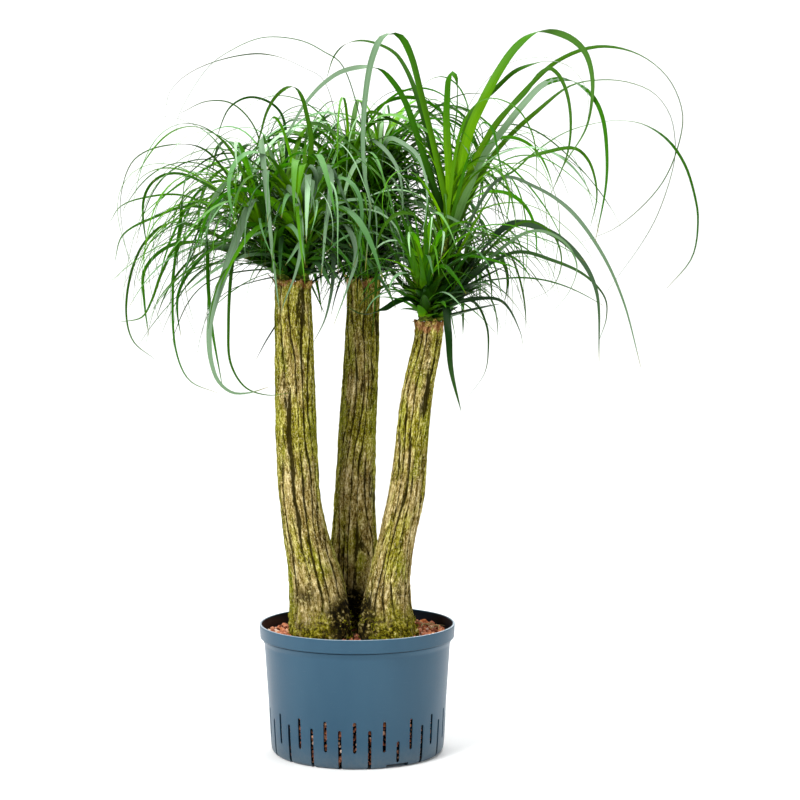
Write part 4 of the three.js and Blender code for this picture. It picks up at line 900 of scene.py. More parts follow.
def pot_rows():
    """Pairs of outer and inner profile points, from the middle of the base to the rim."""
    base = [((radius, 0), (radius, BASE_THICKNESS)) for radius in BASE_RINGS]
    wall = []
    for height in WALL_RINGS:
        radius = wall_radius(height)
        wall.append(((radius, height), (radius - POT_WALL, height)))
    return base + CORNER_PROFILE + wall + RIM_PROFILE


def make_pot(material):
    """Outer and inner skins on the same grid, joined round the cells that are open."""
    rows = pot_rows()
    sector_turn = 360 / SECTORS
    near, wide = BESIDE_SLOT
    points = []
    for skin in (0, 1):
        for pair in rows:
            radius, height = pair[skin]
            for sector in range(SECTORS):
                half = slot_half_turn(sector, max(pair[0][0], INSIDE_RADIUS), pair[0][1])
                for offset in (-sector_turn / 2, -wide, -near, -half, half, near, wide):
                    turn = math.radians(FIRST_SLOT_TURN + sector * sector_turn + offset)
                    points.append((radius * math.sin(turn), -radius * math.cos(turn), height))
    columns = SECTORS * SECTOR_COLUMNS
    skin_size = len(rows) * columns

    def point(skin, row, column):
        return skin * skin_size + row * columns + column % columns

    def is_open(row, column):
        if row < 0 or row >= len(rows) - 1:
            return False
        sector, part = divmod(column % columns, SECTOR_COLUMNS)
        (radius, low_height), (_, high_height) = rows[row][0], rows[row + 1][0]
        if part == SLOT_COLUMN:
            low, high = slot_of(sector)
            if radius >= LOW_SLOT_INNER_RADIUS and low_height >= low and high_height <= high:
                return True
        turn = (column % columns) / SECTOR_COLUMNS * sector_turn - SHORT_SLOT_SECTOR * sector_turn
        in_notch = abs(turn - sector_turn / 2) < NOTCH_HALF_TURN + sector_turn / SECTOR_COLUMNS
        return in_notch and radius >= NOTCH_INNER_RADIUS and high_height <= NOTCH_HEIGHT

    def joining_face(first, second):
        return [point(0, *first), point(0, *second), point(1, *second), point(1, *first)]

    faces = []
    for row in range(len(rows) - 1):
        for column in range(columns):
            here = (row, column), (row, column + 1), (row + 1, column + 1), (row + 1, column)
            if not is_open(row, column):
                faces.append([point(0, *corner) for corner in here])
                faces.append([point(1, *corner) for corner in here[::-1]])
                continue
            for edge, beyond in (
                ((here[0], here[1]), (row - 1, column)),
                ((here[1], here[2]), (row, column + 1)),
                ((here[2], here[3]), (row + 1, column)),
                ((here[3], here[0]), (row, column - 1)),
            ):
                if not is_open(*beyond):
                    faces.append(joining_face(*edge))
    last = len(rows) - 1
    for column in range(columns):
        faces.append(joining_face((last, column), (last, column + 1)))
    faces.append([point(0, 0, column) for column in range(columns)][::-1])
    faces.append([point(1, 0, column) for column in range(columns)])
    pot = add_piece("pot_shell", points, faces, material, ["pot"])
    x, y, height = np.array(points).T
    radii = np.hypot(x, y)
    inner = np.arange(len(points)) >= skin_size
    # The inner wall above the granules is painted dark as shade, and so is the crease under the rim band
    painted_shade = inner & (height < POT_HEIGHT - INNER_SHADE_TOP) & (radii > INSIDE_RADIUS)
    in_crease = (radii > CREASE_RADII[0]) & (radii < CREASE_RADII[1]) & (height > CREASE_HEIGHT)
    add_values(pot, "painted_shade", painted_shade + CREASE_SHADE * (~inner & in_crease))
    # The rim's top edge is marked for a painted highlight
    add_values(pot, "lip_highlight", (height > POT_HEIGHT - LIP_HIGHLIGHT_DEPTH).astype(float))
    mesh = bmesh.new()
    mesh.from_mesh(pot.data)
    bmesh.ops.recalc_face_normals(mesh, faces=mesh.faces)
    mesh.to_mesh(pot.data)
    mesh.free()
    pot.data.set_sharp_from_angle(angle=math.radians(SHARP_EDGE))


# Trunks


def trunk_shape(trunk, heights):
    """Centre x, centre y and radius of a trunk at an array of heights, eased between stations."""
    stations = trunk["stations"]
    fine = np.arange(stations[0, 0], stations[-1, 0] + 1)
    ease = np.hanning(EASED_HEIGHT)
    shape = []
    for column in (1, 2, 3):
        line = np.interp(fine, stations[:, 0], stations[:, column])
        padded = np.pad(line, EASED_HEIGHT // 2, mode="reflect", reflect_type="odd")
        eased = np.convolve(padded, ease / ease.sum(), mode="valid")
        shape.append(np.interp(heights, fine, eased))
    return shape


def noise_around(turn, height, seed):
    """Gives a function for noise round a trunk, of any fineness round it and up it."""

    def around(count, length, number):
        ring = np.stack([np.cos(turn) * count, np.sin(turn) * count, height / length], 1)
        return value_noise(ring, seed * 20 + number)

    return around


def bark_relief(around, turn):
    """How far the bark stands out, in millimetres, and how deep in a furrow each place is."""
    wander = 0.5 * around(1.3, 130, 1) + 0.1 * around(4, 38, 2)
    furrow = 1 - np.abs(np.sin(FURROWS / 2 * (turn + wander)))
    deep = furrow**2.4 * np.clip(0.7 + 0.7 * around(3.5, 90, 3), 0, 1)
    fine_wander = wander + 0.07 * around(7, 22, 4)
    groove = 1 - np.abs(np.sin(FINE_FURROWS / 2 * (turn + fine_wander)))
    shallow = groove**1.6 * np.clip(0.45 + 0.9 * around(8, 26, 5), 0, 1)
    rough = around(14, 9, 6)
    fine = around(27, 4.5, 7)
    relief = 0.9 + 1.1 * around(2.3, 90, 8) - FURROW_DEPTH * deep - FINE_FURROW_DEPTH * shallow
    relief += 0.7 * rough + 0.4 * fine
    return relief, np.clip(1.1 * deep + 0.6 * shallow - 0.05 + 0.1 * rough, 0, 1)


def crust_and_shade_of(points):
    """How much of the dark lumpy coat and painted shade covers the trunks' feet where they meet."""
    wobble = 9 * value_noise(points / 14, CRUST_AND_SHADE_SEED) + 5 * value_noise(points / 5, CRUST_AND_SHADE_SEED + 1)
    x = points[:, 0] + wobble
    height = points[:, 2]
    gap = sum(share * np.exp(-((x - centre) / half) ** 2) for centre, half, share in GAP_SHADE_PATCHES)
    off_x = (x - STAIN["x"]) / STAIN["half_width"]
    off_height = (height - STAIN["height"]) / STAIN["half_height"]
    stain = STAIN["strength"] * np.exp(-(off_x**2) - off_height**2)
    return np.clip(gap, 0, 1) * (1 - smoothstep(height + wobble, *GAP_SHADE_HEIGHTS)) + stain


def make_trunk(name, material):
    trunk = TRUNKS[name]
    seed = trunk["seed"]
    top = trunk["stations"][-1][0]
    heights = np.linspace(FILL_HEIGHT - TRUNK_BURIED, top, TRUNK_RINGS)
    x, y, radius = trunk_shape(trunk, heights)
    turns = np.arange(TRUNK_SIDES) / TRUNK_SIDES * 2 * math.pi
    turn = np.tile(turns, TRUNK_RINGS)
    height = np.repeat(heights, TRUNK_SIDES)
    around = noise_around(turn, height, seed)
    relief, furrow_shade = bark_relief(around, turn)
    foot = 1 - smoothstep(height, FILL_HEIGHT + 30, FILL_HEIGHT + 110)
    ground = 1 - smoothstep(height + 16 * around(5, 20, 11), FILL_HEIGHT + 6, FILL_HEIGHT + 56)
    lobe = 0.05 * foot * np.cos(trunk["lobes"] * turn + seed)
    knots = (2.4 * around(7, 10, 12) + 1.2 * around(16, 5, 13)) * ground
    crown = smoothstep(height + 9 * around(5, 12, 14), top - trunk["torn"], top)
    frayed = (1.8 * around(6, 7, 15) + 1.2 * around(15, 4, 16)) * crown
    reach = np.repeat(radius, TRUNK_SIDES) * (1 + lobe) + relief * (1 - 0.4 * ground) + knots + frayed
    rim = smoothstep(height, top - TORN_RIM, top)
    torn_rim = height + rim * (3.2 * around(4, 40, 17) + 2.2 * around(11, 40, 18))
    centre = np.stack([np.repeat(x, TRUNK_SIDES), np.repeat(y, TRUNK_SIDES)], 1)
    straight = np.stack([reach * np.cos(turn), reach * np.sin(turn), torn_rim], 1)
    rings = [straight]
    edge = straight[-TRUNK_SIDES:]
    for share in CUT_TOP_RINGS:
        ring = edge.copy()
        ring[:, :2] *= share
        cells = np.stack([ring[:, 0] / 3, ring[:, 1] / 3, np.zeros(TRUNK_SIDES)], 1)
        grain = value_noise(cells, seed + 7)
        ring[:, 2] = lerp(top - 1.5, edge[:, 2] - 1.5, share**4) + 0.8 * grain
        rings.append(ring)
    straight = np.concatenate(rings)
    spare = (len(rings) - 1) * TRUNK_SIDES
    points = straight.copy()
    points[:, :2] += np.concatenate([centre, np.tile(centre[-1], (spare, 1))])
    faces = ring_faces(len(points) // TRUNK_SIDES, TRUNK_SIDES)
    piece = add_piece(name + "_bark", points, faces, material, [name])
    # Painted shade follows the furrows' depth
    add_values(piece, "furrow_shade", np.concatenate([furrow_shade, np.full(spare, 0.2)]))
    add_values(piece, "ground", np.concatenate([ground, np.zeros(spare)]))
    # Green painted bounce light, strongest on the trunk's left and right sides
    add_values(piece, "edge", np.concatenate([trunk["edge"] * np.cos(turn) ** 2, np.zeros(spare)]))
    add_values(piece, "crown", np.concatenate([crown, np.ones(spare)]))
    add_values(piece, "crust_and_shade", crust_and_shade_of(points))
    add_vectors(piece, "bark_place", straight * MM)
    make_flakes(name, material)


def make_flakes(name, material):
    """Torn flakes of bark round the cut top of a trunk, and broken stubs at its left."""
    trunk = TRUNKS[name]
    top, x, y, radius = trunk["stations"][-1]
    count = int(radius * FLAKES_PER_MM)
    points, faces, places = [], [], []
    for flake in range(count):
        key = trunk["seed"] * 100 + flake
        turn = (flake + draw(key, 1, 0) * 0.8) / count * 2 * math.pi
        wide = lerp(*FLAKE_WIDTH, draw(key, 1, 1)) / radius
        tall = lerp(*FLAKE_HEIGHT, draw(key, 1, 2) ** 1.5)
        lean = lerp(*FLAKE_LEAN, draw(key, 1, 3) ** 1.6)
        low = top - tall * lerp(0.45, 0.9, draw(key, 1, 4))
        if math.cos(turn) < STUB_SIDE and trunk["stub"]:
            tall = trunk["stub"] * lerp(0.75, 1, draw(key, 1, 6))
            lean = STUB_LEAN
            low = top - 0.3 * tall
        base = len(points)
        for skin in (0, 1):
            for row in range(FLAKE_ROWS):
                up = row / (FLAKE_ROWS - 1)
                for column in range(FLAKE_COLUMNS):
                    side = column / (FLAKE_COLUMNS - 1) - 0.5
                    ragged = 0.3 * (draw(key, row * FLAKE_COLUMNS + column, 5) - 0.5)
                    at = turn + side * wide * (1.1 - 0.75 * up**1.5) + ragged * 0.1
                    out = radius + 0.6 - 1.6 * skin * (1 - 0.5 * up) + lean * tall * up**1.6 + ragged
                    height = low + tall * up * (1 - 0.5 * lean) + 3 * ragged * up
                    points.append((x + out * math.cos(at), y + out * math.sin(at), height))
                    places.append((out * math.cos(at), out * math.sin(at), height))
        faces += slab_faces(base, FLAKE_ROWS, FLAKE_COLUMNS)
    piece = add_piece(name + "_flakes", points, faces, material, [name])
    add_values(piece, "crown", np.full(len(points), 0.55))
    add_values(piece, "furrow_shade", np.full(len(points), 0.1))
    add_vectors(piece, "bark_place", np.array(places) * MM)


# Granules


def ball_of_faces():
    mesh = bmesh.new()
    bmesh.ops.create_icosphere(mesh, subdivisions=LUMP_FINENESS, radius=1)
    points = np.array([vertex.co[:] for vertex in mesh.verts])
    faces = np.array([[vertex.index for vertex in face.verts] for face in mesh.faces])
    mesh.free()
    return points, faces


def make_lumps(name, places, sizes, material, seed):
    """Rough lumps of clay in one mesh, each turned, squashed and dented in its own way."""
    ball, ball_faces = ball_of_faces()
    points, faces, tones = [], [], []
    for index, (place, size) in enumerate(zip(places, sizes)):
        turn = Euler([draw(seed, index, k) * 2 * math.pi for k in range(3)]).to_matrix()
        squash = np.array([lerp(*LUMP_SQUASH, draw(seed, index, k)) for k in (3, 4, 5)])
        dents = 1 + LUMP_DENTS * value_noise(ball * 1.7 + index * 3.1, seed + 40)
        shaped = (ball * squash * dents[:, None] * size) @ np.array(turn).T
        points.append(shaped + np.array(place))
        faces.append(ball_faces + index * len(ball))
        tones.append(np.full(len(ball), draw(seed, index, 6)))
    faces = np.concatenate(faces).tolist()
    piece = add_piece(name, np.concatenate(points), faces, material, ["granules"])
    add_values(piece, "tone", np.concatenate(tones))


def trunk_at(stations, height):
    """Centre x, centre y and radius of a trunk at one height."""
    return [np.interp(height, stations[:, 0], stations[:, column]) for column in (1, 2, 3)]


def clear_of_trunks(x, y, height, margin):
    for trunk in TRUNKS.values():
        stations = trunk["stations"]
        if height > stations[-1][0] + 4:
            continue
        trunk_x, trunk_y, radius = trunk_at(stations, height)
        if math.hypot(x - trunk_x, y - trunk_y) < radius + margin:
            return False
    return True


def bed_places(spacing, depth, seed):
    """Places over the pot's surface on a shaken triangular grid, clear of the trunks."""
    places = []
    count = int(2 * FILL_RADIUS / spacing) + 1
    for row in range(count):
        for column in range(count):
            shakes = [draw(seed, row * count + column, turn) - 0.5 for turn in (1, 2, 3)]
            x = (column + (row % 2) / 2) * spacing - FILL_RADIUS + shakes[0] * spacing * GRID_SHAKE
            y = row * spacing * GRID_ROW - FILL_RADIUS + shakes[1] * spacing * GRID_SHAKE
            if math.hypot(x, y) < FILL_RADIUS - 4 and clear_of_trunks(x, y, FILL_HEIGHT, 0.5):
                hollow = HOLLOW_DEPTH * math.exp(-((x / HOLLOW_HALF_WIDTH) ** 2)) * (y < HOLLOW_EDGE)
                places.append((x, y, FILL_HEIGHT - depth - hollow + shakes[2] * 4))
    return places


def wall_radius(height):
    """The pot's outer radius below its shoulder."""
    if height <= SKIRT_HEIGHT:
        share = max(height - CORNER_HEIGHT, 0) / (SKIRT_HEIGHT - CORNER_HEIGHT)
        return lerp(CORNER_RADIUS, SKIRT_RADIUS, share**0.7)
    share = (height - SKIRT_HEIGHT) / (SHOULDER_HEIGHT - SKIRT_HEIGHT)
    return lerp(SKIRT_RADIUS, SHOULDER_RADIUS, share)


def slot_granules(seed):
    """Places and sizes for the granules that show in the pot's slots, two abreast."""
    places, sizes = [], []
    for sector in range(SECTORS):
        low, high = slot_of(sector)
        for step in range(SLOT_GRANULE_ROWS):
            for side in (-1, 1):
                index = sector * 100 + step * 2 + side
                size = lerp(*SLOT_GRANULE_RADII, draw(seed, index, 0))
                height = 7 + step * SLOT_GRANULE_SPACING + 3 * (draw(seed, index, 3) - 0.5) + side * 1.2
                over_notch = sector == SHORT_SLOT_SECTOR and height < 13
                if height > high + 4 or height < low - 4 or over_notch:
                    continue
                wobble = 2.2 * (draw(seed, index, 1) - 0.5)
                turn = math.radians(FIRST_SLOT_TURN + sector * 360 / SECTORS + side * 1.5 + wobble)
                radius = wall_radius(height) - POT_WALL - size - 0.4 - 2.4 * draw(seed, index, 2)
                places.append((radius * math.sin(turn), -radius * math.cos(turn), height))
                sizes.append(size)
    return places, sizes


def make_gap_shade(material):
    """The dark bulk between the granules, a little within their outer faces: painted shade in the
    gaps between them.
    """
    sides = 96
    points = []
    for ring, (radius, height) in enumerate(GAP_SHADE_PROFILE):
        for side in range(sides):
            turn = side / sides * 2 * math.pi
            wobble = 1.5 * (draw(GAP_SHADE_SEED, side, ring) - 0.5) if radius > 1 else 0
            points.append((radius * math.cos(turn), radius * math.sin(turn), height + wobble))
    faces = ring_faces(len(GAP_SHADE_PROFILE), sides)
    add_piece("granule_gap_shade", points, faces, material, ["granules"])


def make_granules(clay, dark, twig):
    make_gap_shade(dark)
    for name, spacing, depth, radii, seed in GRANULE_LAYERS:
        places = bed_places(spacing, depth, seed)
        sizes = [lerp(*radii, draw(seed + 1, index, 0)) for index in range(len(places))]
        make_lumps(name, places, sizes, clay, seed + 2)
    make_lumps("granules_in_slots", *slot_granules(SLOT_GRANULE_SEED), clay, SLOT_GRANULE_SEED + 2)
    make_twigs(twig)


def make_twigs(material):
    """A few dry twigs and root ends that lie on the granules at the right."""
    points, faces = [], []
    sides = 6
    rings = 9
    up = np.array([0, 0, 1])
    for index in range(TWIGS):
        heading = draw(TWIG_SEED, index, 0) * 2 * math.pi
        length = lerp(*TWIG_LENGTH, draw(TWIG_SEED, index, 1))
        x = lerp(*TWIG_X, draw(TWIG_SEED, index, 2))
        y = lerp(*TWIG_Y, draw(TWIG_SEED, index, 3))
        start = np.array([x, y, FILL_HEIGHT + 2.5])
        bend = 1.6 * (draw(TWIG_SEED, index, 4) - 0.5)
        thickness = lerp(*TWIG_RADIUS, draw(TWIG_SEED, index, 5))
        base = len(points)
        for ring in range(rings):
            share = ring / (rings - 1)
            along = level_way(heading + bend * share)
            centre = start + along * length * share + 3 * math.sin(math.pi * share) * up
            across = np.array([-along[1], along[0], 0])
            for side in range(sides):
                turn = side / sides * 2 * math.pi
                radius = thickness * (1 - 0.5 * share)
                points.append(centre + radius * (math.cos(turn) * across + math.sin(turn) * up))
        faces += [[corner + base for corner in face] for face in ring_faces(rings, sides)]
    add_piece("twigs", points, faces, material, ["granules"])


# Leaves


def unit(vector):
    return vector / max(np.linalg.norm(vector), 1e-9)


def level_way(turn):
    """The level direction at a turn round the upright axis."""
    return np.array([math.cos(turn), math.sin(turn), 0])


def shoot_line(shoot):
    top = TRUNKS[shoot["trunk"]]["stations"][-1]
    foot = np.array([top[1] + shoot["foot"][0], top[2] + shoot["foot"][1], top[0] + 0.3])
    return foot, np.array(shoot["tip"], dtype=float) + (0, 0, PLANT_RISE)


def shoot_radius(share):
    return lerp(SHOOT_FOOT_RADIUS, SHOOT_TIP_RADIUS, share)


def sighted(x, height, depth):
    """A point seen at x and height in the upright plane through the pot's axis, pushed to a depth."""
    scale = (EYE_DISTANCE + depth) / EYE_DISTANCE
    return np.array([x * scale, depth, EYE_HEIGHT + (height + PLANT_RISE - EYE_HEIGHT) * scale])


def seen_from_front(points):
    scale = EYE_DISTANCE / (EYE_DISTANCE + points[:, 1])
    return points[:, 0] * scale, EYE_HEIGHT - PLANT_RISE + (points[:, 2] - EYE_HEIGHT) * scale


def smooth_curve(knots, per_span=14):
    """A centripetal Catmull-Rom curve through the knots."""
    ends = [2 * knots[0] - knots[1], *knots, 2 * knots[-1] - knots[-2]]
    points = []
    for before, start, end, after in zip(ends, ends[1:], ends[2:], ends[3:]):
        pairs = ((before, start), (start, end), (end, after))
        into, span, onward = [max(np.linalg.norm(b - a) ** 0.5, 1e-4) for a, b in pairs]
        chord = (end - start) / span
        first = ((start - before) / into - (end - before) / (into + span) + chord) * span
        second = (chord - (after - start) / (span + onward) + (after - end) / onward) * span
        for step in range(per_span):
            t = step / per_span
            cubic = 2 * start - 2 * end + first + second
            square = -3 * start + 3 * end - 2 * first - second
            points.append(start + first * t + square * t**2 + cubic * t**3)
    points.append(knots[-1])
    return np.array(points)


def evenly(points, count):
    """The same line with its points an even distance apart."""
    steps = np.linalg.norm(np.diff(points, axis=0), axis=1)
    along = np.concatenate([[0], np.cumsum(steps)])
    wanted = np.linspace(0, along[-1], count)
    return np.stack([np.interp(wanted, along, points[:, k]) for k in range(3)], 1)


def outline_curve(shoot, share, tip_depth, passes):
    """The line of an outline leaf, from its shoot through all that it passes, as seen in front."""
    foot, tip = shoot_line(shoot)
    root = lerp(foot, tip, share)
    seen_root = [value[0] for value in seen_from_front(root[None, :])]
    line = np.array([seen_root, *passes], dtype=float)
    lengths = np.cumsum(np.linalg.norm(np.diff(line, axis=0), axis=1))
    knots = [root]
    for (x, height), length in zip(passes, lengths):
        knots.append(sighted(x, height, lerp(root[1], tip_depth, length / lengths[-1])))
    return evenly(smooth_curve(knots), OUTLINE_RINGS)


def crowd_curve(shoot, seed, index, count, lengths, attempt):
    """The line of a leaf of the crowd: it springs from the shoot, arches over and hangs."""
    rise = (index + 0.5) / count
    foot, tip = shoot_line(shoot)
    axis = unit(tip - foot)
    share = lerp(0.06, 0.97, rise)
    sidestep = ATTEMPT_TURN * attempt * (-1) ** attempt
    heading = math.radians(shoot["turn"] + index * GOLDEN_TURN + sidestep)
    outward = level_way(heading)
    outward = unit(outward - axis * outward.dot(axis))
    spring = math.radians(lerp(*CROWD_SPRING, rise**0.8) + SPRING_SPREAD * (draw(seed, index, 1) - 0.5))
    start = outward * math.cos(spring) + axis * math.sin(spring)
    turn = math.atan2(start[1], start[0])
    sway = math.radians(CROWD_SWAY * (draw(seed, index, 2) - 0.5))
    first_pitch = math.asin(np.clip(start[2], -1, 1))
    last_pitch = math.radians(lerp(*CROWD_HANG, draw(seed, index, 3)) * lerp(*LOW_LEAF_HANG, rise))
    last_pitch *= shoot.get("droop", 1)
    place = lerp(*ARCH_PLACE, draw(seed, index, 4))
    half = lerp(*ARCH_HALF, draw(seed, index, 6))
    reach = lerp(*lengths, lerp(rise, draw(seed, index, 5), LENGTH_CHANCE))
    reach *= 1 - ATTEMPT_SHORTENING * attempt
    reach *= 1 - FRONT_SHORTENING * max(-outward[1], 0)
    along = (np.arange(CROWD_STEPS) + 0.5) / CROWD_STEPS
    bend = lerp(along, smoothstep(along, place - half, place + half), ARCH_SHARPNESS)
    pitch = first_pitch + (last_pitch - first_pitch) * bend
    bearing = turn + sway * along**1.5
    ways = np.stack([np.cos(bearing) * np.cos(pitch), np.sin(bearing) * np.cos(pitch), np.sin(pitch)], 1)
    root = lerp(foot, tip, share) + outward * 0.45 * shoot_radius(share)
    return root + np.concatenate([np.zeros((1, 3)), np.cumsum(ways * reach / CROWD_STEPS, axis=0)])


def inside_crown(points, low_allowed):
    x, height = seen_from_front(points)
    floor = np.interp(x, CROWN_FLOOR_X, CROWN_FLOOR) + (0 if low_allowed else SOFT_FLOOR_RISE)
    top = lerp(CROWN["top"], CROWN_TOP_LEFT, smoothstep(-x, *CROWN_TOP_SPREAD))
    across = (x > CROWN["left"]) & (x < CROWN["right"])
    deep = (points[:, 1] > CROWN["front"]) & (points[:, 1] < CROWN["back"])
    if not np.all(across & deep & (height > floor) & (height < top)):
        return False
    low = points[points[:, 2] < TRUNKS_REACH]
    return all(clear_of_trunks(*point, TRUNK_MARGIN) for point in low)


def carried_along(tangents, start, side):
    """The sideways direction at each ring, carried both ways from one ring without a twist."""
    sides = np.empty((len(tangents), 3))
    for rings in (range(start, len(tangents)), range(start, -1, -1)):
        carried = side
        for ring in rings:
            carried = unit(carried - tangents[ring] * carried.dot(tangents[ring]))
            sides[ring] = carried
    return sides


class Foliage:
    """Gathers the leaves of one shoot in one mesh."""

    def __init__(self):
        self.points = []
        self.quads = []
        self.values = {}
        self.upper = []
        self.count = 0

    def keep(self, name, values):
        self.values.setdefault(name, []).append(values)

    def add(self, line, width, twist, fold, look, wave=0.0, to_front=False):
        """Adds a leaf along a line, channelled by its fold. Its twist at root and tip is measured
        from level, or from the front in a leaf of the outline, which also says where it turns."""
        rings = len(line)
        tangents = np.gradient(line, axis=0)
        tangents /= np.linalg.norm(tangents, axis=1)[:, None]
        along = np.linspace(0, 1, rings)
        if to_front:
            middle = rings // 2
            sides = carried_along(tangents, middle, unit(np.cross(tangents[middle], SIGHT)))
            turned = smoothstep(along, twist[2] - TURNOVER_HALF, twist[2] + TURNOVER_HALF)
        else:
            heading = line[-1] - line[0]
            sides = carried_along(tangents, 0, unit(np.cross([0, 0, 1], [heading[0], heading[1], 0])))
            turned = along
        half = width / 2 * (1 - along**1.8) ** 0.9 * lerp(1.25, 1, smoothstep(along, 0, 0.2)) + 0.2
        turns = np.radians(lerp(twist[0], twist[1], turned) + wave * np.sin(9 * along))
        points = np.empty((rings, 4, 3))
        for ring in range(rings):
            tangent = tangents[ring]
            side = sides[ring]
            flat = side * math.cos(turns[ring]) + np.cross(tangent, side) * math.sin(turns[ring])
            face = np.cross(tangent, flat)
            raised = fold * half[ring] * (1 - 0.6 * along[ring])
            points[ring, 0] = line[ring] + flat * half[ring] + face * raised
            points[ring, 1] = line[ring]
            points[ring, 2] = line[ring] - flat * half[ring] + face * raised
            points[ring, 3] = line[ring] - face * LEAF_THICKNESS * (1 - 0.5 * along[ring])
        base = self.count * 4
        corner = np.arange(rings - 1)[:, None] * 4
        before = np.arange(4)[None, :]
        after = (before + 1) % 4
        quads = [corner + before, corner + after, corner + 4 + after, corner + 4 + before]
        self.points.append(points.reshape(-1, 3))
        self.quads.append(np.stack(quads, -1).reshape(-1, 4) + base)
        self.quads.append(np.array([[3, 2, 1, 0]]) + base)
        self.quads.append(np.array([[0, 1, 2, 3]]) + base + (rings - 1) * 4)
        # Painted shade deep in the crown: darkest at a leaf's root by the stem, fading along it, less on
        # young leaves
        away = np.linalg.norm(line - line[0], axis=1)
        painted_crown_shade = (1 - 0.85 * look["young"]) * np.exp(-away / SHADE_REACH)
        self.keep("along", np.repeat(along, 4))
        self.keep("across", np.tile([1.0, 0.0, -1.0, 0.0], rings))
        self.keep("deep", np.repeat(painted_crown_shade, 4))
        self.keep("outline", np.full(rings * 4, float(to_front)))
        for name, value in look.items():
            self.keep(name, np.full(rings * 4, value))
        self.upper.append(np.concatenate([np.tile([1, 1, 0, 0], rings - 1), [0, 0]]))
        self.count += rings

    def finish(self, name, material, node):
        faces = np.concatenate(self.quads)
        piece = add_piece(name, np.concatenate(self.points), faces.tolist(), material, [node])
        for key, values in self.values.items():
            add_values(piece, key, np.concatenate(values))
        add_values(piece, "upper", np.concatenate(self.upper), "FACE")
        edges = np.empty(len(piece.data.edges) * 2, dtype=np.int32)
        piece.data.edges.foreach_get("vertices", edges)
        part = edges.reshape(-1, 2) % 4
        sharp = (part[:, 0] == part[:, 1]) & (part[:, 0] % 2 == 0)
        piece.data.edges.foreach_set("use_edge_sharp", sharp)


def make_stem(name, shoot, material):
    """The short stem that the leaves spring from, with a swollen foot on the cut trunk."""
    foot, tip = shoot_line(shoot)
    sides = 24
    rings = 30
    seed = len(name) + shoot["turn"]
    points = []
    for ring in range(rings):
        share = ring / (rings - 1)
        swell = 2.5 * math.exp(-share * 12)
        centre = lerp(foot, tip, share)
        for side in range(sides):
            turn = side / sides * 2 * math.pi
            scars = 1.2 * math.sin(share * 50 + 3 * turn) + 1.4 * (draw(seed, ring, side) - 0.5)
            radius = shoot_radius(share) * (1 - share**6) + swell + scars * (1 - share)
            points.append(centre + radius * level_way(turn))
    add_piece("stem_" + name, points, ring_faces(rings, sides), material, ["shoot_" + name])


def add_scales(foliage, shoot, seed):
    """Short, broad leaves that clasp the foot of a shoot."""
    foot, tip = shoot_line(shoot)
    axis = unit(tip - foot)
    for index in range(SCALES_PER_SHOOT):
        share = 0.01 + 0.5 * (index / SCALES_PER_SHOOT) ** 1.4
        turn = math.radians(shoot["turn"] + index * GOLDEN_TURN)
        outward = level_way(turn)
        length = lerp(*SCALE_LENGTH, draw(seed, index, 0) ** 1.2)
        spring = lerp(*SCALE_SPRING, draw(seed, index, 1))
        line = [lerp(foot, tip, share) + outward * shoot_radius(share) * 0.6]
        for step in range(SCALE_STEPS):
            pitch = spring - 0.12 * step * draw(seed, index, 2)
            way = unit(outward * math.cos(pitch) + axis * math.sin(pitch))
            line.append(line[-1] + way * length / SCALE_STEPS)
        width = lerp(*SCALE_WIDTH, draw(seed, index, 3))
        look = dict(
            tone=draw(seed, index, 5),
            young=min(lerp(0.3, 1.2, draw(seed, index, 4)) * lerp(0.4, 1.0, shoot["pale"]), 1),
            shade=lerp(0.6, 1.15, draw(seed, index, 6)),
        )
        foliage.add(np.array(line), width, (0, 20), 0.5, look)


def fan_leaves():
    """The leaves of the fan, listed like the other leaves of the outline."""
    x, height = FAN_FOOT
    leaves = []
    for number, (tip_x, tip_height, width, depth, young) in enumerate(FAN_TIPS):
        passes = [
            (round(x + out * (tip_x - x)), round(height + up * (tip_height - height)))
            for out, up in FAN_BENDS
        ]
        share = FAN_START + FAN_SPACING * number
        leaves.append((FAN_SHOOT, share, width, depth, FAN_TWIST, young, passes))
    return leaves


def add_outline_leaves(foliage, shoot_name):
    for index, leaf in enumerate(OUTLINE_LEAVES + fan_leaves()):
        owner, share, width, tip_depth, twist, young, passes = leaf
        if owner != shoot_name:
            continue
        line = outline_curve(SHOOTS[shoot_name], share, tip_depth, passes)
        shade = lerp(*OUTLINE_SHADE, draw(OUTLINE_SEED, index, 2))
        if width < HAIR_WIDTH:
            shade *= HAIR_SHADE
        look = dict(tone=draw(OUTLINE_SEED, index, 1), young=young, shade=shade)
        foliage.add(line, width * OUTLINE_SLIMNESS, twist, OUTLINE_FOLD, look, OUTLINE_WAVE, True)


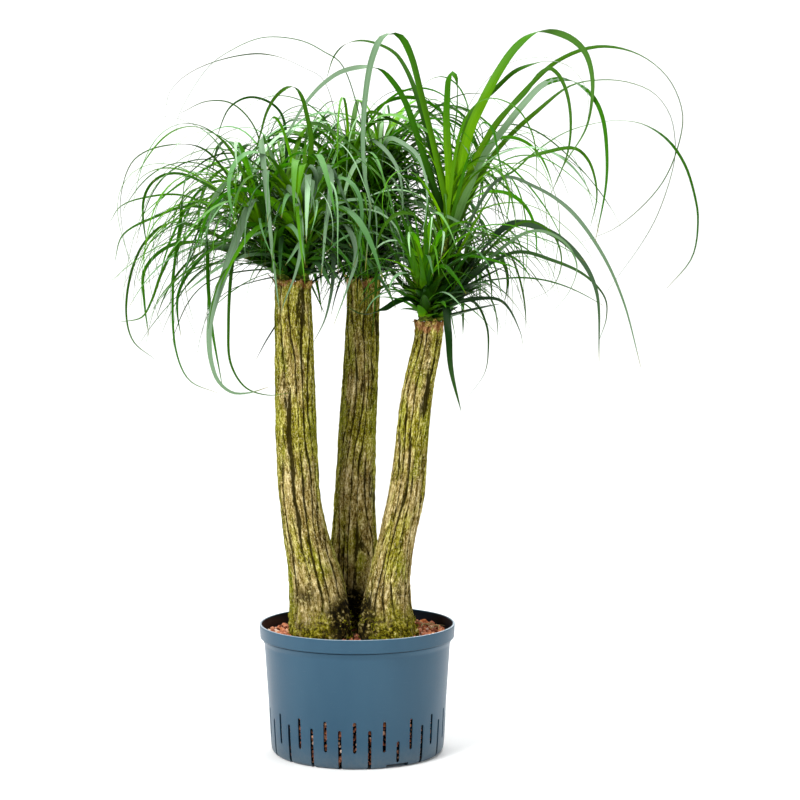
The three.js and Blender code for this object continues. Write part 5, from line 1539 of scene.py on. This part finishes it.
def add_crowd(foliage, shoot, kind, seed, rings):
    """The straps or wires of a shoot. A leaf that leaves the crown is drawn again or left out."""
    count, thin, wide, *lengths = shoot[kind]
    for index in range(count):
        low_allowed = draw(seed, index, 20) < LOW_SHARE
        facing = -math.sin(math.radians(shoot["turn"] + index * GOLDEN_TURN))
        if facing > FRONT_FACING and draw(seed, index, 21) < FRONT_THINNING:
            continue
        for attempt in range(CROWD_ATTEMPTS):
            line = crowd_curve(shoot, seed, index, count, lengths, attempt)
            if inside_crown(line, low_allowed):
                break
        else:
            continue
        rise = (index + 0.5) / count
        young = lerp(0.05 + 0.45 * shoot["pale"], 1.0, rise) * lerp(0.6, 1.1, shoot["pale"])
        look = dict(
            tone=draw(seed, index, 10),
            young=min(young, 1),
            shade=lerp(*CROWD_SHADE, draw(seed, index, 12)) * lerp(0.85, 1.15, rise),
        )
        width = lerp(thin, wide, draw(seed, index, 7))
        twist = (ROOT_TWIST * (draw(seed, index, 8) - 0.5), TIP_TWIST * (draw(seed, index, 9) - 0.5))
        wave = CROWD_WAVE * draw(seed, index, 11)
        foliage.add(evenly(smooth_curve(line, 2), rings), width, twist, CROWD_FOLD, look, wave)


def grow_shoot(name, number, leaf_material, stem_material):
    shoot = SHOOTS[name]
    make_stem(name, shoot, stem_material)
    foliage = Foliage()
    add_scales(foliage, shoot, SCALE_SEED + number)
    add_outline_leaves(foliage, name)
    add_crowd(foliage, shoot, "straps", 4 * number, STRAP_RINGS)
    add_crowd(foliage, shoot, "wires", 4 * number + 1, WIRE_RINGS)
    foliage.finish("leaves_" + name, leaf_material, "shoot_" + name)


# Moss


def make_moss(material):
    """Tufts of short blades on the trunks' feet and on the granules round them."""
    points, faces, tones = [], [], []
    for tuft in range(MOSS_TUFTS):
        stations = list(TRUNKS.values())[tuft % 3]["stations"]
        height = FILL_HEIGHT - 2 + MOSS_RISE * draw(MOSS_SEED, tuft, 0) ** 2.2
        turn = draw(MOSS_SEED, tuft, 1) * 2 * math.pi
        x, y, radius = trunk_at(stations, height)
        outward = level_way(turn)
        stray = 1.5 * draw(MOSS_SEED, tuft, 2)
        centre = np.array([x, y, height]) + outward * (radius * 1.02 + stray)
        if value_noise(centre[None, :] / MOSS_PATCH, MOSS_PATCH_SEED)[0] < MOSS_GAPS:
            continue
        for blade in range(MOSS_BLADES):
            key = tuft * MOSS_BLADES + blade
            lean = np.array([draw(BLADE_SEED, key, k) - 0.5 for k in range(3)])
            way = unit(outward * 0.8 + lean * 2.4 + np.array([0, 0, 0.5]))
            length = lerp(*MOSS_LENGTH, draw(BLADE_SEED, key, 3))
            across = unit(np.cross(way, [draw(BLADE_SEED, key, 4), 0.3, 0.4]))
            across *= lerp(*MOSS_HALF_WIDTH, draw(BLADE_SEED, key, 5))
            back = centre + way * length * 0.5 - np.cross(across, way) * 0.3
            here = len(points)
            points += [centre - across, centre + across, back, centre + way * length]
            faces += [[here + corner for corner in face] for face in BLADE_FACES]
            tone = draw(BLADE_SEED, tuft, 6) * 0.7 + 0.3 * draw(BLADE_SEED, key, 7)
            tones += [tone] * 4
    moss = add_piece("moss", points, faces, material, ["granules"])
    add_values(moss, "tone", tones)


# Stage


def make_stage():
    """A pale floor that sweeps up into a backdrop."""
    paint = Paint("stage_pale", Specular_IOR_Level=0.1)
    paint.colour(srgb(244, 244, 243))
    paint.roughness(0.9)
    line = [(FLOOR_FRONT, 0.0), (FLOOR_DEPTH - SWEEP, 0.0)]
    for step in range(1, SWEEP_STEPS + 1):
        turn = step / SWEEP_STEPS * math.pi / 2
        line.append((FLOOR_DEPTH - SWEEP + SWEEP * math.sin(turn), SWEEP - SWEEP * math.cos(turn)))
    line.append((FLOOR_DEPTH, BACKDROP_HEIGHT))
    points = [(side * FLOOR_HALF_WIDTH, y, z) for y, z in line for side in (-1, 1)]
    faces = [[2 * k, 2 * k + 1, 2 * k + 3, 2 * k + 2] for k in range(len(line) - 1)]
    mesh = bpy.data.meshes.new("floor")
    mesh.from_pydata(points, [], faces)
    mesh.polygons.foreach_set("use_smooth", [True] * len(mesh.polygons))
    mesh.materials.append(paint.material)
    floor = bpy.data.objects.new("floor", mesh)
    bpy.context.scene.collection.objects.link(floor)


def add_light(name, place, target, size, power):
    data = bpy.data.lights.new(name, "AREA")
    data.shape = "DISK"
    data.size = size
    data.energy = power
    light = bpy.data.objects.new(name, data)
    light.location = place
    light.rotation_euler = (Vector(target) - Vector(place)).to_track_quat("-Z", "Y").to_euler()
    bpy.context.scene.collection.objects.link(light)


def make_lights():
    for light in LIGHTS:
        add_light(*light)
    world = bpy.data.worlds.new("studio")
    world.use_nodes = True
    background = world.node_tree.nodes["Background"]
    background.inputs["Color"].default_value = WORLD_COLOUR
    background.inputs["Strength"].default_value = WORLD_STRENGTH
    bpy.context.scene.world = world
    bpy.context.scene.view_settings.view_transform = "Standard"


def make_camera():
    data = bpy.data.cameras.new("camera")
    data.lens = LENS
    data.sensor_width = SENSOR
    data.clip_end = 50
    camera = bpy.data.objects.new("camera", data)
    eye = Vector((0, -EYE_DISTANCE, EYE_HEIGHT)) * MM
    camera.location = eye
    camera.rotation_euler = (Vector(EYE_TARGET) * MM - eye).to_track_quat("-Z", "Y").to_euler()
    bpy.context.scene.collection.objects.link(camera)
    bpy.context.scene.camera = camera


make_camera()
make_lights()
make_stage()
make_pot(pot_plastic())
make_granules(fired_clay(), gap_shade_bed(), dry_twig())
BARK = trunk_bark()
for trunk_name in TRUNKS:
    make_trunk(trunk_name, BARK)
make_moss(moss_green())
LEAF = leaf_green()
SKIN = shoot_skin()
for shoot_number, shoot_name in enumerate(SHOOTS):
    grow_shoot(shoot_name, shoot_number, LEAF, SKIN)
